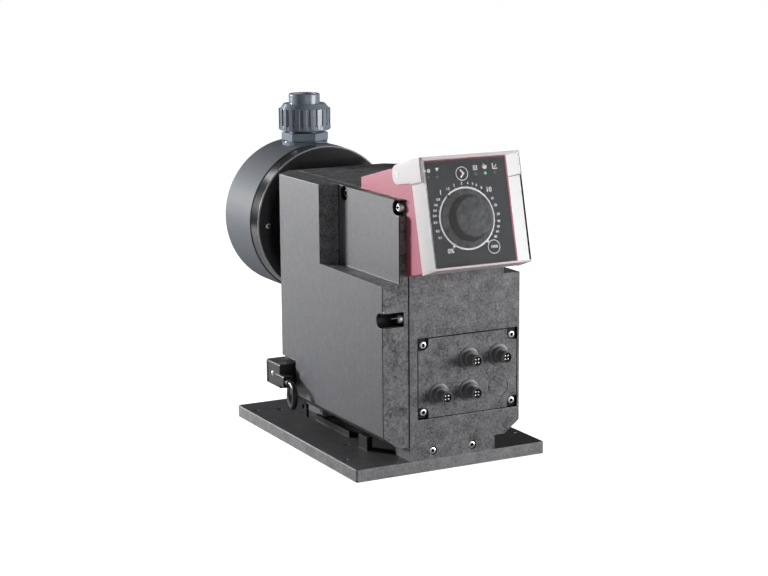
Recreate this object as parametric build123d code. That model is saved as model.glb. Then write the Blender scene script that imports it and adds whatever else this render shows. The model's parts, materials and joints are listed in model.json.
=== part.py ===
"""Diaphragm metering pump on a base plate, driven by a stepper motor through a gear and an eccentric.

Millimetres. The origin is the centre of the base plate's bolt pattern, on the underside of the plate.
+X is to the right for someone facing the controls, +Y points to the rear, where the dosing head is,
and +Z is up. Depths are counted from the front face of the housing, which is flush with the plate.
"""
import math
import os

from build123d import *

# The lengths that the rest follows: the housing's width and depth, and the height of the dosing head's axis
housing_width = 154.5
housing_depth = 252.0
head_height = 209.8

# Base plate
plate_width = 214.0
plate_depth = housing_depth + 35.0
plate_thickness = 12.7
plate_edge_radius = 1.2
bolt_spacing_x = plate_width - 14.0
bolt_spacing_y = plate_depth - 72.0
bolt_from_front = 40.0
bolt_hole_radius = 3.3
spare_spacing_x = plate_width - 64.0
spare_spacing_y = plate_depth - 126.5
spare_from_front = 86.5
rail_spacing = 116.0
rail_width = 4.0
rail_height = 6.4
rail_start = 109.0
rail_end = housing_depth - 63.0
post_width = 6.0
post_start = 55.0
post_end = 74.0
post_gap = 0.3
eye_x = 62.0
eye_thickness = 3.0
eye_start = housing_depth - 49.0
eye_length = 14.0
eye_stem = 3.2
eye_low = 18.0
eye_hole_radius = 2.8

# Housing
housing_top = head_height + 62.6
housing_wall = 4.0
foot_height = 14.4
foot_width = housing_width - 57.9
front_foot_depth = 30.0
rear_foot_start = housing_depth - 57.0
rear_foot_end = housing_depth - 17.0
rear_chamfer = 19.5
keel_width = 17.5
keel_height = 13.3
shoulder_height = head_height - 18.8
shoulder_depth = 137.0
shoulder_slant = 8.0
upper_width = housing_width - 37.5
seam_x = 28.95 - housing_width / 2
seam_gap = 0.3
cover_setback = 1.0
corner_radius = 1.5

# Screws of the side cover, in pockets that open to the left
pocket_radius = 7.2
upper_pocket_height = housing_top - 7.9
upper_pocket_floor = 6.5
front_pocket_depth = 6.5
rear_pocket_depth = 117.5
side_pocket_height = shoulder_height - 35.0
side_pocket_floor = 23.0
side_screw_radius = 2.5
side_screw_length = 14.0
side_head_radius = 4.6
side_head_height = 3.2

# Foot screws
foot_screw_spacing = 44.6
foot_screw_height = 20.7
foot_screw_radius = 2.5
foot_head_radius = 3.7
foot_recess_radius = 4.7
foot_recess_depth = 2.6
bracket_width = 80.0
bracket_height = 12.4
fit_gap = 0.3

# Connection plate and its connectors
panel_centre_x = housing_width / 2 - 59.75
panel_centre_z = 94.5
panel_width = housing_width - 42.5
panel_height = 80.0
panel_thickness = 4.0
panel_joint = 0.8
panel_notch = 11.2
panel_notch_depth = 2.2
panel_screw_x = panel_width - 11.6
panel_screw_z = 67.4
panel_screw_radius = 1.9
panel_head_radius = 3.7
panel_head_height = 1.9
gasket_thickness = 1.0
gasket_border = 6.0
connector_pitch_x = (panel_width - 10.3) / 3
connector_pitch_z = 32.4
connector_centre_x = panel_centre_x + 0.7
connector_low_z = 77.4
connector_reach = 17.3
connector_radius = 6.0
collar_radius = 7.8
collar_length = 5.4
flange_radius = 11.2
flange_thickness = 1.2
socket_radius = 4.6
socket_depth = 8.0
pin_circle = 2.4
pin_radius = 0.55
marker_radius = 3.5
marker_height = 0.4
marker_offset_x = -9.8
marker_offset_z = 16.3

# Control unit: its front is a plane that leans back by the tilt
unit_tilt = 13.6
unit_width = 102.0
dial_depth = -27.3
dial_height = housing_top - 18.0
unit_rise = 57.2
unit_drop = 48.6
unit_tail_depth = 94.0
unit_tail_height = 11.0
unit_wall = 2.5
face_width = 98.0
face_rise = 56.2
face_drop = 46.3
face_thickness = 2.5
face_setback = 0.2
knob_radius = 28.2
knob_cap_radius = 20.9
knob_height = 14.3
knob_gap = 0.3
shaft_radius = 3.0
shaft_clearance = 0.05
mode_key_rise = 43.0
key_radius = 5.8
key_gap = 0.25
key_stand = 0.4
full_key_x = 26.0
full_key_rise = -29.4
lens_radius = 1.5
lens_rise = 41.8
lens_places = (-36.6, -27.0, 15.3, 25.6, 36.5)
encoder_size = 14.0
encoder_depth = 7.0
board_thickness = 1.6

# Clear cover over the controls
cover_wall = 1.6
cover_side_gap = 0.3
cover_front = 22.0
cover_back = -4.2
cover_rise = 59.5
cover_low_front = -47.8
cover_low_back = -50.4
pivot_back = -32.0
pivot_rise = 49.6
pivot_radius = 9.6
pin_hole_clearance = 0.05
hinge_pin_radius = 2.0
block_proud = 2.3
block_low = 36.2
block_front = 20.0

# Dosing head and drive flange
head_radius = 83.3
head_depth = 70.0
head_edge = 3.0
flange_disc_radius = 82.4
flange_disc_start = housing_depth + 25.8
flange_disc_thickness = 19.7
head_start = flange_disc_start + flange_disc_thickness
neck_radius = 55.0
flange_screw_circle = 70.8
flange_screw_radius = 2.0
flange_screw_head = 3.0
head_bolt_circle = 68.0
head_bolt_radius = 4.0
head_bolt_head = 6.5
head_bolt_sink = 12.0
head_bolt_count = 8
flange_screw_count = 2
chamber_radius = 48.0
chamber_depth = 8.0
flange_recess = 9.0
channel_radius = 6.0
diaphragm_radius = 56.0
diaphragm_thickness = 4.0
core_radius = 20.0
core_gap = 0.3

# Valves: heights are counted from the axis of the dosing head
valve_depth = head_start + 33.5
valve_seat_level = 79.2
valve_flange_radius = 25.2
valve_flange_thickness = 4.2
valve_spigot_radius = 16.0
valve_spigot_length = 18.5
hex_radius = 26.0
hex_level = 84.0
hex_height = 9.1
valve_neck_radius = 18.5
thread_radius = 20.9
thread_top = 113.0
bore_radius = 5.0
ball_chamber_radius = 8.6
ball_chamber_low = 80.0
ball_chamber_high = 91.5
ball_radius = 7.0
ball_gap = 0.15
nut_radius = 27.4
nut_rib_radius = 28.8
nut_rib_count = 22
nut_rib_width = 4.0
nut_level = 95.4
nut_height = 29.6
nut_collar = 5.4
nut_clearance = 0.08
tail_radius = 17.25
tail_top = 135.8
tail_socket_radius = 12.5
tail_socket_depth = 14.0
tail_collar_radius = 19.6
tail_collar_height = 5.0
seal_thickness = 2.4

# Drive
drive_depth = housing_depth - 82.0
eccentric_radius = 13.0
eccentric_throw = 3.0
eccentric_width = 12.0
drive_shaft_radius = 6.0
gear_module = 1.5
gear_teeth = 60
pinion_teeth = 12
gear_width = 8.0
gear_x = housing_width / 2 - 29.25
motor_size = 56.0
motor_length = 50.0
frame_right = gear_x - 10.0
frame_left = frame_right - 72.0
frame_wall = 8.0
frame_reach = 32.0
frame_back = housing_depth - 20.0
frame_low = head_height - 87.8
frame_high = head_height + 28.2
mount_half_width = 50.0
mount_low = head_height - 45.8
mount_high = head_height + 46.2
mount_leg = 12.0
bearing_radius = 14.0
push_rod_radius = 8.0
yoke_gap = 3.3
yoke_wall = 5.6
yoke_width = 10.0
rod_clearance = 0.08

# Mains inlet, connector and lead
notch_start = housing_depth - 52.0
notch_height = 77.0
notch_x = 25.25 - housing_width / 2
inlet_depth = 8.0
inlet_low = 44.0
inlet_high = 75.0
inlet_start = notch_start + 5.0
inlet_end = notch_start + 43.0
plug_outer_x = notch_x - 40.0
plug_low = 46.5
plug_high = 72.5
plug_start = notch_start + 8.0
plug_end = notch_start + 42.0
boss_start = plug_start - 13.0
lead_radius = 3.2
lead_exit = (plug_outer_x + 3.1, boss_start - 7.0, 56.0)

# Put-away length of the lead: a tied coil behind the housing, and the wall plug beside it
coil_x = 60.0
coil_depth = head_start + 50.5
coil_turn_radius = 37.0
coil_columns = 2
coil_layers = 3
coil_notch_gap = 0.3
tie_thickness = 0.8
tie_width = 6.0
tie_turn = 135.0
tail_length = 27.0
plug_body_radius = 18.5
plug_body_length = 34.0
plug_relief_length = 16.0
plug_pin_radius = 2.4
plug_pin_length = 19.0
plug_pin_spacing = 19.0

front = -(bolt_from_front + bolt_spacing_y / 2)
foot_top = plate_thickness + foot_height
half_width = housing_width / 2
tilt = math.radians(unit_tilt)
upwards = Vector(0, math.sin(tilt), math.cos(tilt))
outwards = Vector(0, -math.cos(tilt), math.sin(tilt))
dial_centre = Vector(0, front + dial_depth, dial_height)
face_plane = Plane(origin=dial_centre, x_dir=(1, 0, 0), z_dir=outwards)
side_plane = Plane(origin=dial_centre, x_dir=outwards, z_dir=(-1, 0, 0))
nodes = {}


def box(x_low, x_high, depth_low, depth_high, z_low, z_high):
    """A box between two corners, with its depth counted from the front."""
    size = (x_high - x_low, depth_high - depth_low, z_high - z_low)
    middle = ((x_low + x_high) / 2, front + (depth_low + depth_high) / 2, (z_low + z_high) / 2)
    return Pos(*middle) * Box(*size)


def rod_x(radius, x_low, x_high, depth, z):
    """A round bar along X."""
    return Pos((x_low + x_high) / 2, front + depth, z) * Rot(0, 90, 0) * Cylinder(radius, x_high - x_low)


def rod_y(radius, depth_low, depth_high, x, z):
    """A round bar along Y."""
    bar = Cylinder(radius, depth_high - depth_low)
    return Pos(x, front + (depth_low + depth_high) / 2, z) * Rot(90, 0, 0) * bar


def rod_z(radius, z_low, z_high, x, depth):
    """A round bar along Z."""
    return Pos(x, front + depth, (z_low + z_high) / 2) * Cylinder(radius, z_high - z_low)


def upright(points, z_low, z_high):
    """A prism on a plan outline of (x, depth) points."""
    outline = [(x, front + depth) for x, depth in points]
    return Pos(0, 0, z_low) * extrude(Polygon(*outline, align=None), z_high - z_low)


def across(points, half):
    """A prism along X on a side outline of (depth, z) points."""
    outline = [(front + depth, z) for depth, z in points]
    return extrude(Plane.YZ * Polygon(*outline, align=None), half, both=True)


def turned(points, depth, flip=1):
    """A body turned about the valve axis, from (radius, level) points."""
    outline = [(radius, head_height + flip * level) for radius, level in points]
    return Pos(0, front + depth, 0) * revolve(Plane.XZ * Polygon(*outline, align=None), Axis.Z)


def on_face(shape, x=0.0, rise=0.0, stand=0.0):
    """A shape placed on the control unit's leaning front."""
    return face_plane * Pos(x, rise, stand) * shape


def face_box(x_low, x_high, low, high, back, fore):
    """A box on the leaning front, between two corners."""
    shape = Box(x_high - x_low, high - low, fore - back)
    return on_face(shape, (x_low + x_high) / 2, (low + high) / 2, (back + fore) / 2)


def face_rod(radius, back, fore, x=0.0, rise=0.0):
    """A round bar standing on the leaning front."""
    return on_face(Cylinder(radius, fore - back), x, rise, (back + fore) / 2)


def face_side(points, half):
    """A prism along X on a side outline of (stand, rise) points of the leaning front."""
    return extrude(side_plane * Polygon(*points, align=None), half, both=True)


def body_form(inset):
    """The housing's whole outer form, or the same form drawn in by a wall."""
    half = half_width - inset
    upper = upper_width / 2 - inset
    low = foot_top + inset
    corner = rear_chamfer - inset * (2 - math.sqrt(2))
    rear = housing_depth - inset
    step_outer = shoulder_depth + inset
    step_inner = shoulder_depth - shoulder_slant + inset
    full = [(-half, inset), (half, inset), (half, rear - corner), (half - corner, rear),
            (corner - half, rear), (-half, rear - corner)]
    stepped = [(-upper, inset), (upper, inset), (upper, step_inner), (half, step_outer),
               (half, rear - corner), (half - corner, rear), (corner - half, rear),
               (-half, rear - corner), (-half, step_outer), (-upper, step_inner)]
    form = upright(full, low, shoulder_height - inset) + upright(stepped, low, housing_top - inset)
    keel = [(keel_width - half, low), (half - keel_width, low), (half, low + keel_height),
            (half, housing_top), (-half, housing_top), (-half, low + keel_height)]
    form = form & extrude(Plane.XZ * Polygon(*keel, align=None), 2 * housing_depth, both=True)
    notch = box(-housing_width, notch_x + inset, notch_start - inset, housing_depth + 1,
                0, notch_height + inset)
    return form - notch


def pocket_places():
    """Depth, height and floor of each side-cover screw pocket."""
    upper_floor = -upper_width / 2 + upper_pocket_floor
    side_floor = -half_width + side_pocket_floor
    return [(front_pocket_depth, upper_pocket_height, upper_floor),
            (rear_pocket_depth, upper_pocket_height, upper_floor),
            (front_pocket_depth, side_pocket_height, side_floor)]


def make_eye(side):
    """An upright lug with a round eye at its rear, beside the housing's rear foot."""
    low = side * eye_x - eye_thickness / 2
    high = side * eye_x + eye_thickness / 2
    top = foot_top - post_gap
    end = eye_start + eye_length
    eye = box(low, high, eye_start, end, eye_low, top)
    eye = fillet(eye.edges().filter_by(Axis.X).group_by(Axis.Y)[-1], 3.5)
    eye += box(low, high, eye_start, eye_start + eye_stem, plate_thickness - 1, top)
    middle = eye_start + (eye_stem + eye_length) / 2
    return eye - rod_x(eye_hole_radius, low - 1, high + 1, middle, (eye_low + top) / 2)


def make_base_plate():
    plate = box(-plate_width / 2, plate_width / 2, 0, plate_depth, 0, plate_thickness)
    plate = fillet(plate.edges().filter_by(Axis.Z), 2 * plate_edge_radius)
    plate = fillet(plate.faces().sort_by(Axis.Z)[-1].edges(), plate_edge_radius)
    for side in (-1, 1):
        for depth in (bolt_from_front, bolt_from_front + bolt_spacing_y):
            plate -= rod_z(bolt_hole_radius, -1, plate_thickness + 1, side * bolt_spacing_x / 2, depth)
        for depth in (spare_from_front, spare_from_front + spare_spacing_y):
            plate -= rod_z(bolt_hole_radius, -1, plate_thickness + 1, side * spare_spacing_x / 2, depth)
        middle = side * rail_spacing / 2
        rail = box(middle - rail_width / 2, middle + rail_width / 2, rail_start, rail_end,
                   plate_thickness - 1, plate_thickness + rail_height)
        post = box(side * 64 - post_width / 2, side * 64 + post_width / 2, post_start, post_end,
                   plate_thickness - 1, foot_top - post_gap)
        plate += rail + post + make_eye(side)
    bracket = box(-bracket_width / 2, bracket_width / 2,
                  housing_wall * 2 + 2 * fit_gap, front_foot_depth - housing_wall - fit_gap,
                  plate_thickness - 1, plate_thickness + bracket_height)
    plate += bracket
    for side in (-1, 1):
        plate -= rod_y(foot_screw_radius, 5, front_foot_depth, side * foot_screw_spacing / 2,
                       foot_screw_height)
    nodes["base_plate"] = plate


def make_housing():
    whole = body_form(0)
    whole = fillet(whole.edges().filter_by(Axis.Z), corner_radius)
    shell = whole - body_form(housing_wall)
    far = 400
    right = shell & box(seam_x + seam_gap / 2, far, -far, far, 0, far)
    left = shell & box(-far, seam_x - seam_gap / 2, cover_setback, far, 0, far)

    foot_low = plate_thickness
    foot_left = seam_x + seam_gap / 2
    front_foot = box(foot_left, foot_width / 2, 0, front_foot_depth, foot_low, foot_top + 1)
    hollow = box(-bracket_width / 2 - fit_gap, bracket_width / 2 + fit_gap, housing_wall * 2 + fit_gap,
                 front_foot_depth - housing_wall, foot_low - 1, plate_thickness + bracket_height + fit_gap)
    rear_foot = box(foot_left, foot_width / 2, rear_foot_start, rear_foot_end, foot_low, foot_top + 1)
    right += front_foot - hollow
    right += rear_foot
    for side in (-1, 1):
        place = side * foot_screw_spacing / 2
        right -= rod_y(foot_recess_radius, -1, foot_recess_depth, place, foot_screw_height)
        right -= rod_y(foot_screw_radius, -1, housing_wall * 2 + 1, place, foot_screw_height)

    half_w = panel_width / 2
    half_h = panel_height / 2
    pad = box(panel_centre_x - half_w - 4, half_width - housing_wall / 2, housing_wall - 1, 2
              * housing_wall + 2,
              panel_centre_z - half_h - 5, panel_centre_z + half_h + 5)
    seat = panel_thickness + gasket_thickness
    rebate = box(panel_centre_x - half_w - panel_joint, panel_centre_x + half_w + panel_joint, -1, seat,
                 panel_centre_z - half_h - panel_joint, panel_centre_z + half_h + panel_joint)
    window = box(panel_centre_x - half_w + panel_notch, panel_centre_x + half_w - panel_notch, -1, 20,
                 panel_centre_z - half_h + gasket_border, panel_centre_z + half_h - gasket_border)
    right = right + pad - rebate - window
    for side_x in (-1, 1):
        for side_z in (-1, 1):
            right -= rod_y(panel_screw_radius, 0, 2 * housing_wall + 1, panel_centre_x + side_x
                           * panel_screw_x / 2,
                           panel_centre_z + side_z * panel_screw_z / 2)

    for depth, height, floor in pocket_places():
        reach = pocket_radius + 2.5
        start = max(depth - reach, cover_setback)
        top = min(height + reach, housing_top)
        boss = box(floor - 4, seam_x - seam_gap / 2, start, depth + reach, height - reach, top)
        if depth > front_pocket_depth:
            boss = boss & whole
        left += boss
        outer = -half_width if height < shoulder_height else -upper_width / 2
        if height < shoulder_height:
            left += box(outer, floor, start, depth + reach, height - reach, top)
        left -= rod_x(pocket_radius, outer - 1, floor, depth, height)
        if depth == front_pocket_depth:
            left -= box(outer - 1, floor, -1, depth, height - pocket_radius, height + pocket_radius)
        left -= rod_x(side_screw_radius, floor - 1, seam_x, depth, height)
        boss_top = min(height + 6, housing_top - 1)
        right += box(seam_x + seam_gap / 2, seam_x + 12, max(depth - 6, 1), depth + 6, height - 6,
                     boss_top)
        right -= rod_x(side_screw_radius, seam_x - 1, seam_x + 11, depth, height)

    right -= rod_y(push_rod_radius + 8, housing_depth - housing_wall - 1, housing_depth + 1, 0,
                   head_height)
    nodes["drive_housing"] = right
    nodes["side_cover"] = left


def make_side_screws():
    screws = []
    for depth, height, floor in pocket_places():
        head = rod_x(side_head_radius, floor - side_head_height, floor, depth, height)
        head = fillet(head.edges().group_by(Axis.X)[0], 1.0)
        head -= rod_x(1.9, floor - side_head_height - 1, floor - 1.2, depth, height)
        screws.append(head + rod_x(side_screw_radius, floor, floor + side_screw_length, depth, height))
    nodes["side_cover_screws"] = Compound(screws)


def make_foot_screws():
    screws = []
    for side in (-1, 1):
        place = side * foot_screw_spacing / 2
        head = rod_y(foot_head_radius, foot_recess_depth - 2.4, foot_recess_depth, place,
                     foot_screw_height)
        head = fillet(head.edges().group_by(Axis.Y)[0], 0.8)
        head -= rod_y(1.6, 0, foot_recess_depth - 1.1, place, foot_screw_height)
        screws.append(head + rod_y(foot_screw_radius, foot_recess_depth, 24, place, foot_screw_height))
    nodes["foot_screws"] = Compound(screws)


def connector_places():
    """Centre of each round connector, and last the place that is left closed."""
    left = connector_centre_x - connector_pitch_x
    right = connector_centre_x + connector_pitch_x
    high = connector_low_z + connector_pitch_z
    return [(left, connector_low_z), (connector_centre_x, high), (right, high),
            (connector_centre_x, connector_low_z), (right, connector_low_z)]


def make_connection_plate():
    half_w = panel_width / 2
    half_h = panel_height / 2
    plate = box(panel_centre_x - half_w, panel_centre_x + half_w, 0, panel_thickness,
                panel_centre_z - half_h, panel_centre_z + half_h)
    seal = box(panel_centre_x - half_w, panel_centre_x + half_w,
               panel_thickness, panel_thickness + gasket_thickness,
               panel_centre_z - half_h, panel_centre_z + half_h)
    seal -= box(panel_centre_x - half_w + panel_notch, panel_centre_x + half_w - panel_notch, 0, 20,
                panel_centre_z - half_h + gasket_border, panel_centre_z + half_h - gasket_border)
    screws = []
    for side_x in (-1, 1):
        for side_z in (-1, 1):
            place_x = panel_centre_x + side_x * panel_screw_x / 2
            place_z = panel_centre_z + side_z * panel_screw_z / 2
            corner_x = panel_centre_x + side_x * half_w
            corner_z = panel_centre_z + side_z * half_h
            inner_x = corner_x - side_x * panel_notch
            inner_z = corner_z - side_z * panel_notch
            notch = box(min(corner_x, inner_x), max(corner_x, inner_x), -1, panel_notch_depth,
                        min(corner_z, inner_z), max(corner_z, inner_z))
            edge = notch.edges().filter_by(Axis.Y).sort_by_distance((inner_x, front, inner_z))[0]
            plate -= fillet(edge, panel_notch * 0.55)
            hole = rod_y(panel_screw_radius, -1, 12, place_x, place_z)
            plate -= hole
            seal -= hole
            head = rod_y(panel_head_radius, panel_notch_depth - panel_head_height, panel_notch_depth,
                         place_x, place_z)
            head = fillet(head.edges().group_by(Axis.Y)[0], 0.7)
            head -= rod_y(1.5, -1, panel_notch_depth - panel_head_height + 1.0, place_x, place_z)
            screws.append(head + rod_y(panel_screw_radius, panel_notch_depth, 8.5, place_x, place_z))
    for x, z in connector_places():
        plate += rod_y(marker_radius, -marker_height, 1, x + marker_offset_x, z + marker_offset_z)
    for x, z in connector_places()[:-1]:
        plate -= rod_y(connector_radius - 0.5, -1, 6, x, z)
    blank_x, blank_z = connector_places()[-1]
    groove = rod_y(flange_radius, -1, 0.5, blank_x, blank_z)
    groove -= rod_y(flange_radius - 0.6, -2, 1, blank_x, blank_z)
    nodes["connection_plate"] = plate - groove
    nodes["connection_gasket"] = seal
    nodes["connection_plate_screws"] = Compound(screws)


def make_connectors():
    for number, (x, z) in enumerate(connector_places()[:-1], 1):
        body = rod_y(flange_radius, -flange_thickness, 0, x, z)
        body = chamfer(body.edges().group_by(Axis.Y)[0], 0.8)
        body += rod_y(collar_radius, -collar_length, -flange_thickness, x, z)
        barrel = rod_y(connector_radius, -connector_reach, -collar_length, x, z)
        body += chamfer(barrel.edges().group_by(Axis.Y)[0], 0.9)
        body += rod_y(connector_radius - 0.6, 0, panel_thickness + 0.5, x, z)
        body -= rod_y(socket_radius, -connector_reach - 1, socket_depth - connector_reach, x, z)
        socket_floor = socket_depth - connector_reach
        insert = rod_y(socket_radius - 0.1, socket_floor - 4, socket_floor, x, z)
        for turn in range(4):
            angle = math.radians(45 + 90 * turn)
            insert += rod_y(pin_radius, -connector_reach + 0.8, socket_depth - connector_reach,
                            x + pin_circle * math.cos(angle), z + pin_circle * math.sin(angle))
        nodes[f"signal_connector_{number}"] = body
        nodes[f"connector_insert_{number}"] = insert


def make_control_unit():
    nose = dial_centre - Vector(0, front, 0)
    top_front = nose + upwards * unit_rise
    low_front = nose - upwards * unit_drop
    low_back = low_front.Z - low_front.Y * 0 - abs(low_front.Y) * math.tan(tilt)
    tail_top = housing_top + unit_tail_height
    outline = [(unit_tail_depth, housing_top), (unit_tail_depth, tail_top), (top_front.Y, top_front.Z),
               (low_front.Y, low_front.Z), (0, low_back), (0, housing_top)]
    case = across(outline, unit_width / 2)
    case = fillet(case.edges().filter_by(Axis.X).sort_by(Axis.Z)[-1], 1.5)
    inner = offset(Polygon(*[(front + depth, z) for depth, z in outline], align=None), -unit_wall)
    case -= extrude(Plane.YZ * inner, unit_width / 2 - unit_wall, both=True)
    case -= face_box(-face_width / 2 - 0.1, face_width / 2 + 0.1, -face_drop - 0.1, face_rise + 0.1,
                     -face_thickness - face_setback, 1)
    case -= face_box(-face_width / 2 + 2, face_width / 2 - 2, 2 - face_drop, face_rise - 2, -8, 1)
    pivot = side_plane * Pos(pivot_back, pivot_rise)
    case -= extrude(pivot * Circle(hinge_pin_radius), unit_width, both=True)
    nodes["control_case"] = case

    face = face_box(-face_width / 2, face_width / 2, -face_drop, face_rise, -face_thickness
                    - face_setback, -face_setback)
    face -= face_rod(4.6, -5, 5)
    for x, rise in ((0, mode_key_rise), (full_key_x, full_key_rise)):
        face -= face_rod(key_radius + key_gap, -5, 5, x, rise)
    lenses = []
    for x in lens_places:
        face -= face_rod(lens_radius, -5, 5, x, lens_rise)
        lenses.append(face_rod(lens_radius, -face_thickness - face_setback, 0, x, lens_rise))
    nodes["control_panel"] = face
    nodes["indicator_lenses"] = Compound(lenses)

    profile = [(shaft_radius, knob_gap), (knob_radius, knob_gap), (knob_radius, 1.5),
               (knob_radius - 0.9, 2.3), (knob_cap_radius + 2.6, 3.4), (knob_cap_radius + 0.8, 5.4),
               (knob_cap_radius, knob_height - 1.6), (knob_cap_radius - 0.5, knob_height - 0.6),
               (knob_cap_radius - 1.6, knob_height), (0, knob_height),
               (0, knob_height - 3), (shaft_radius, knob_height - 3)]
    knob_plane = Plane(origin=dial_centre, x_dir=(1, 0, 0), z_dir=-upwards)
    knob = revolve(knob_plane * Polygon(*profile, align=None), Axis(dial_centre, outwards))
    nodes["adjustment_knob"] = knob
    encoder_back = -face_thickness - face_setback - encoder_depth
    nodes["knob_shaft"] = face_rod(shaft_radius, encoder_back + 1.5, knob_height - 3)
    encoder = face_box(-encoder_size / 2, encoder_size / 2, -encoder_size / 2, encoder_size / 2,
                       encoder_back, -face_thickness - face_setback)
    encoder += face_rod(4.5, -face_thickness - face_setback, 0)
    nodes["knob_encoder"] = encoder - face_rod(shaft_radius + shaft_clearance, encoder_back + 1.4, 5)
    nodes["control_board"] = face_box(-44, 44, -40, 50, encoder_back - board_thickness, encoder_back)

    key_back = -face_thickness - face_setback
    for name, x, rise in (("mode_key", 0, mode_key_rise),
                          ("full_capacity_key", full_key_x, full_key_rise)):
        key = face_rod(key_radius, key_back, key_stand, x, rise)
        key = fillet(key.edges().sort_by(Axis(dial_centre, outwards))[-1], 0.3)
        nodes[name] = key + face_rod(2.0, encoder_back + 1.0, key_back, x, rise)


def make_clear_cover():
    inner_x = unit_width / 2 + cover_side_gap
    outer_x = inner_x + cover_wall
    outline = [(cover_front, cover_rise), (cover_front, cover_low_front), (cover_back, cover_low_back),
               (cover_back, block_low + 1.8), (pivot_back + 1.0, pivot_rise - pivot_radius + 0.1),
               (pivot_back, pivot_rise + pivot_radius)]
    cheek = side_plane * Pos(pivot_back, pivot_rise) * Circle(pivot_radius)
    cover = face_side(outline, outer_x) + extrude(cheek, outer_x, both=True)
    hollow = [(cover_front - cover_wall, cover_rise - cover_wall),
              (cover_front - cover_wall, cover_low_front + cover_wall),
              (cover_back - 1, cover_low_back + cover_wall),
              (pivot_back - 20, cover_low_back + cover_wall),
              (pivot_back - 20, cover_rise - cover_wall)]
    cover -= face_side(hollow, inner_x)
    roof_cut = face_box(-inner_x, inner_x, cover_rise - cover_wall - 1, cover_rise + 5, pivot_back - 20,
                        pivot_back + 12)
    floor_cut = face_box(-inner_x, inner_x, cover_low_back - 5, cover_low_back + cover_wall + 2,
                         cover_back - 5, 0.6)
    cover = cover - roof_cut - floor_cut
    for side in (-1, 1):
        low_x, high_x = sorted((side * inner_x, side * (outer_x + block_proud)))
        block = face_box(low_x, high_x, block_low, cover_rise, cover_back - 0.8, block_front)
        cover += chamfer(block.edges().group_by(Axis.X)[0 if side < 0 else -1], 0.8)
    hole = side_plane * Pos(pivot_back, pivot_rise) * Circle(hinge_pin_radius + pin_hole_clearance)
    nodes["clear_cover"] = cover - extrude(hole, 2 * outer_x, both=True)
    pins = []
    for side in (-1, 1):
        centre = dial_centre + outwards * pivot_back + upwards * pivot_rise
        low_x, high_x = sorted((side * (unit_width / 2 - unit_wall), side * (outer_x + 0.2)))
        pins.append(Pos((low_x + high_x) / 2, centre.Y, centre.Z) * Rot(0, 90, 0)
                    * Cylinder(hinge_pin_radius, high_x - low_x))
    nodes["cover_hinge_pins"] = Compound(pins)


def ring_places(circle, count, first=180.0):
    """Centres on a circle about the head's axis."""
    turns = [math.radians(first + 360 * step / count) for step in range(count)]
    return [(circle * math.cos(turn), head_height + circle * math.sin(turn)) for turn in turns]


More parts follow.
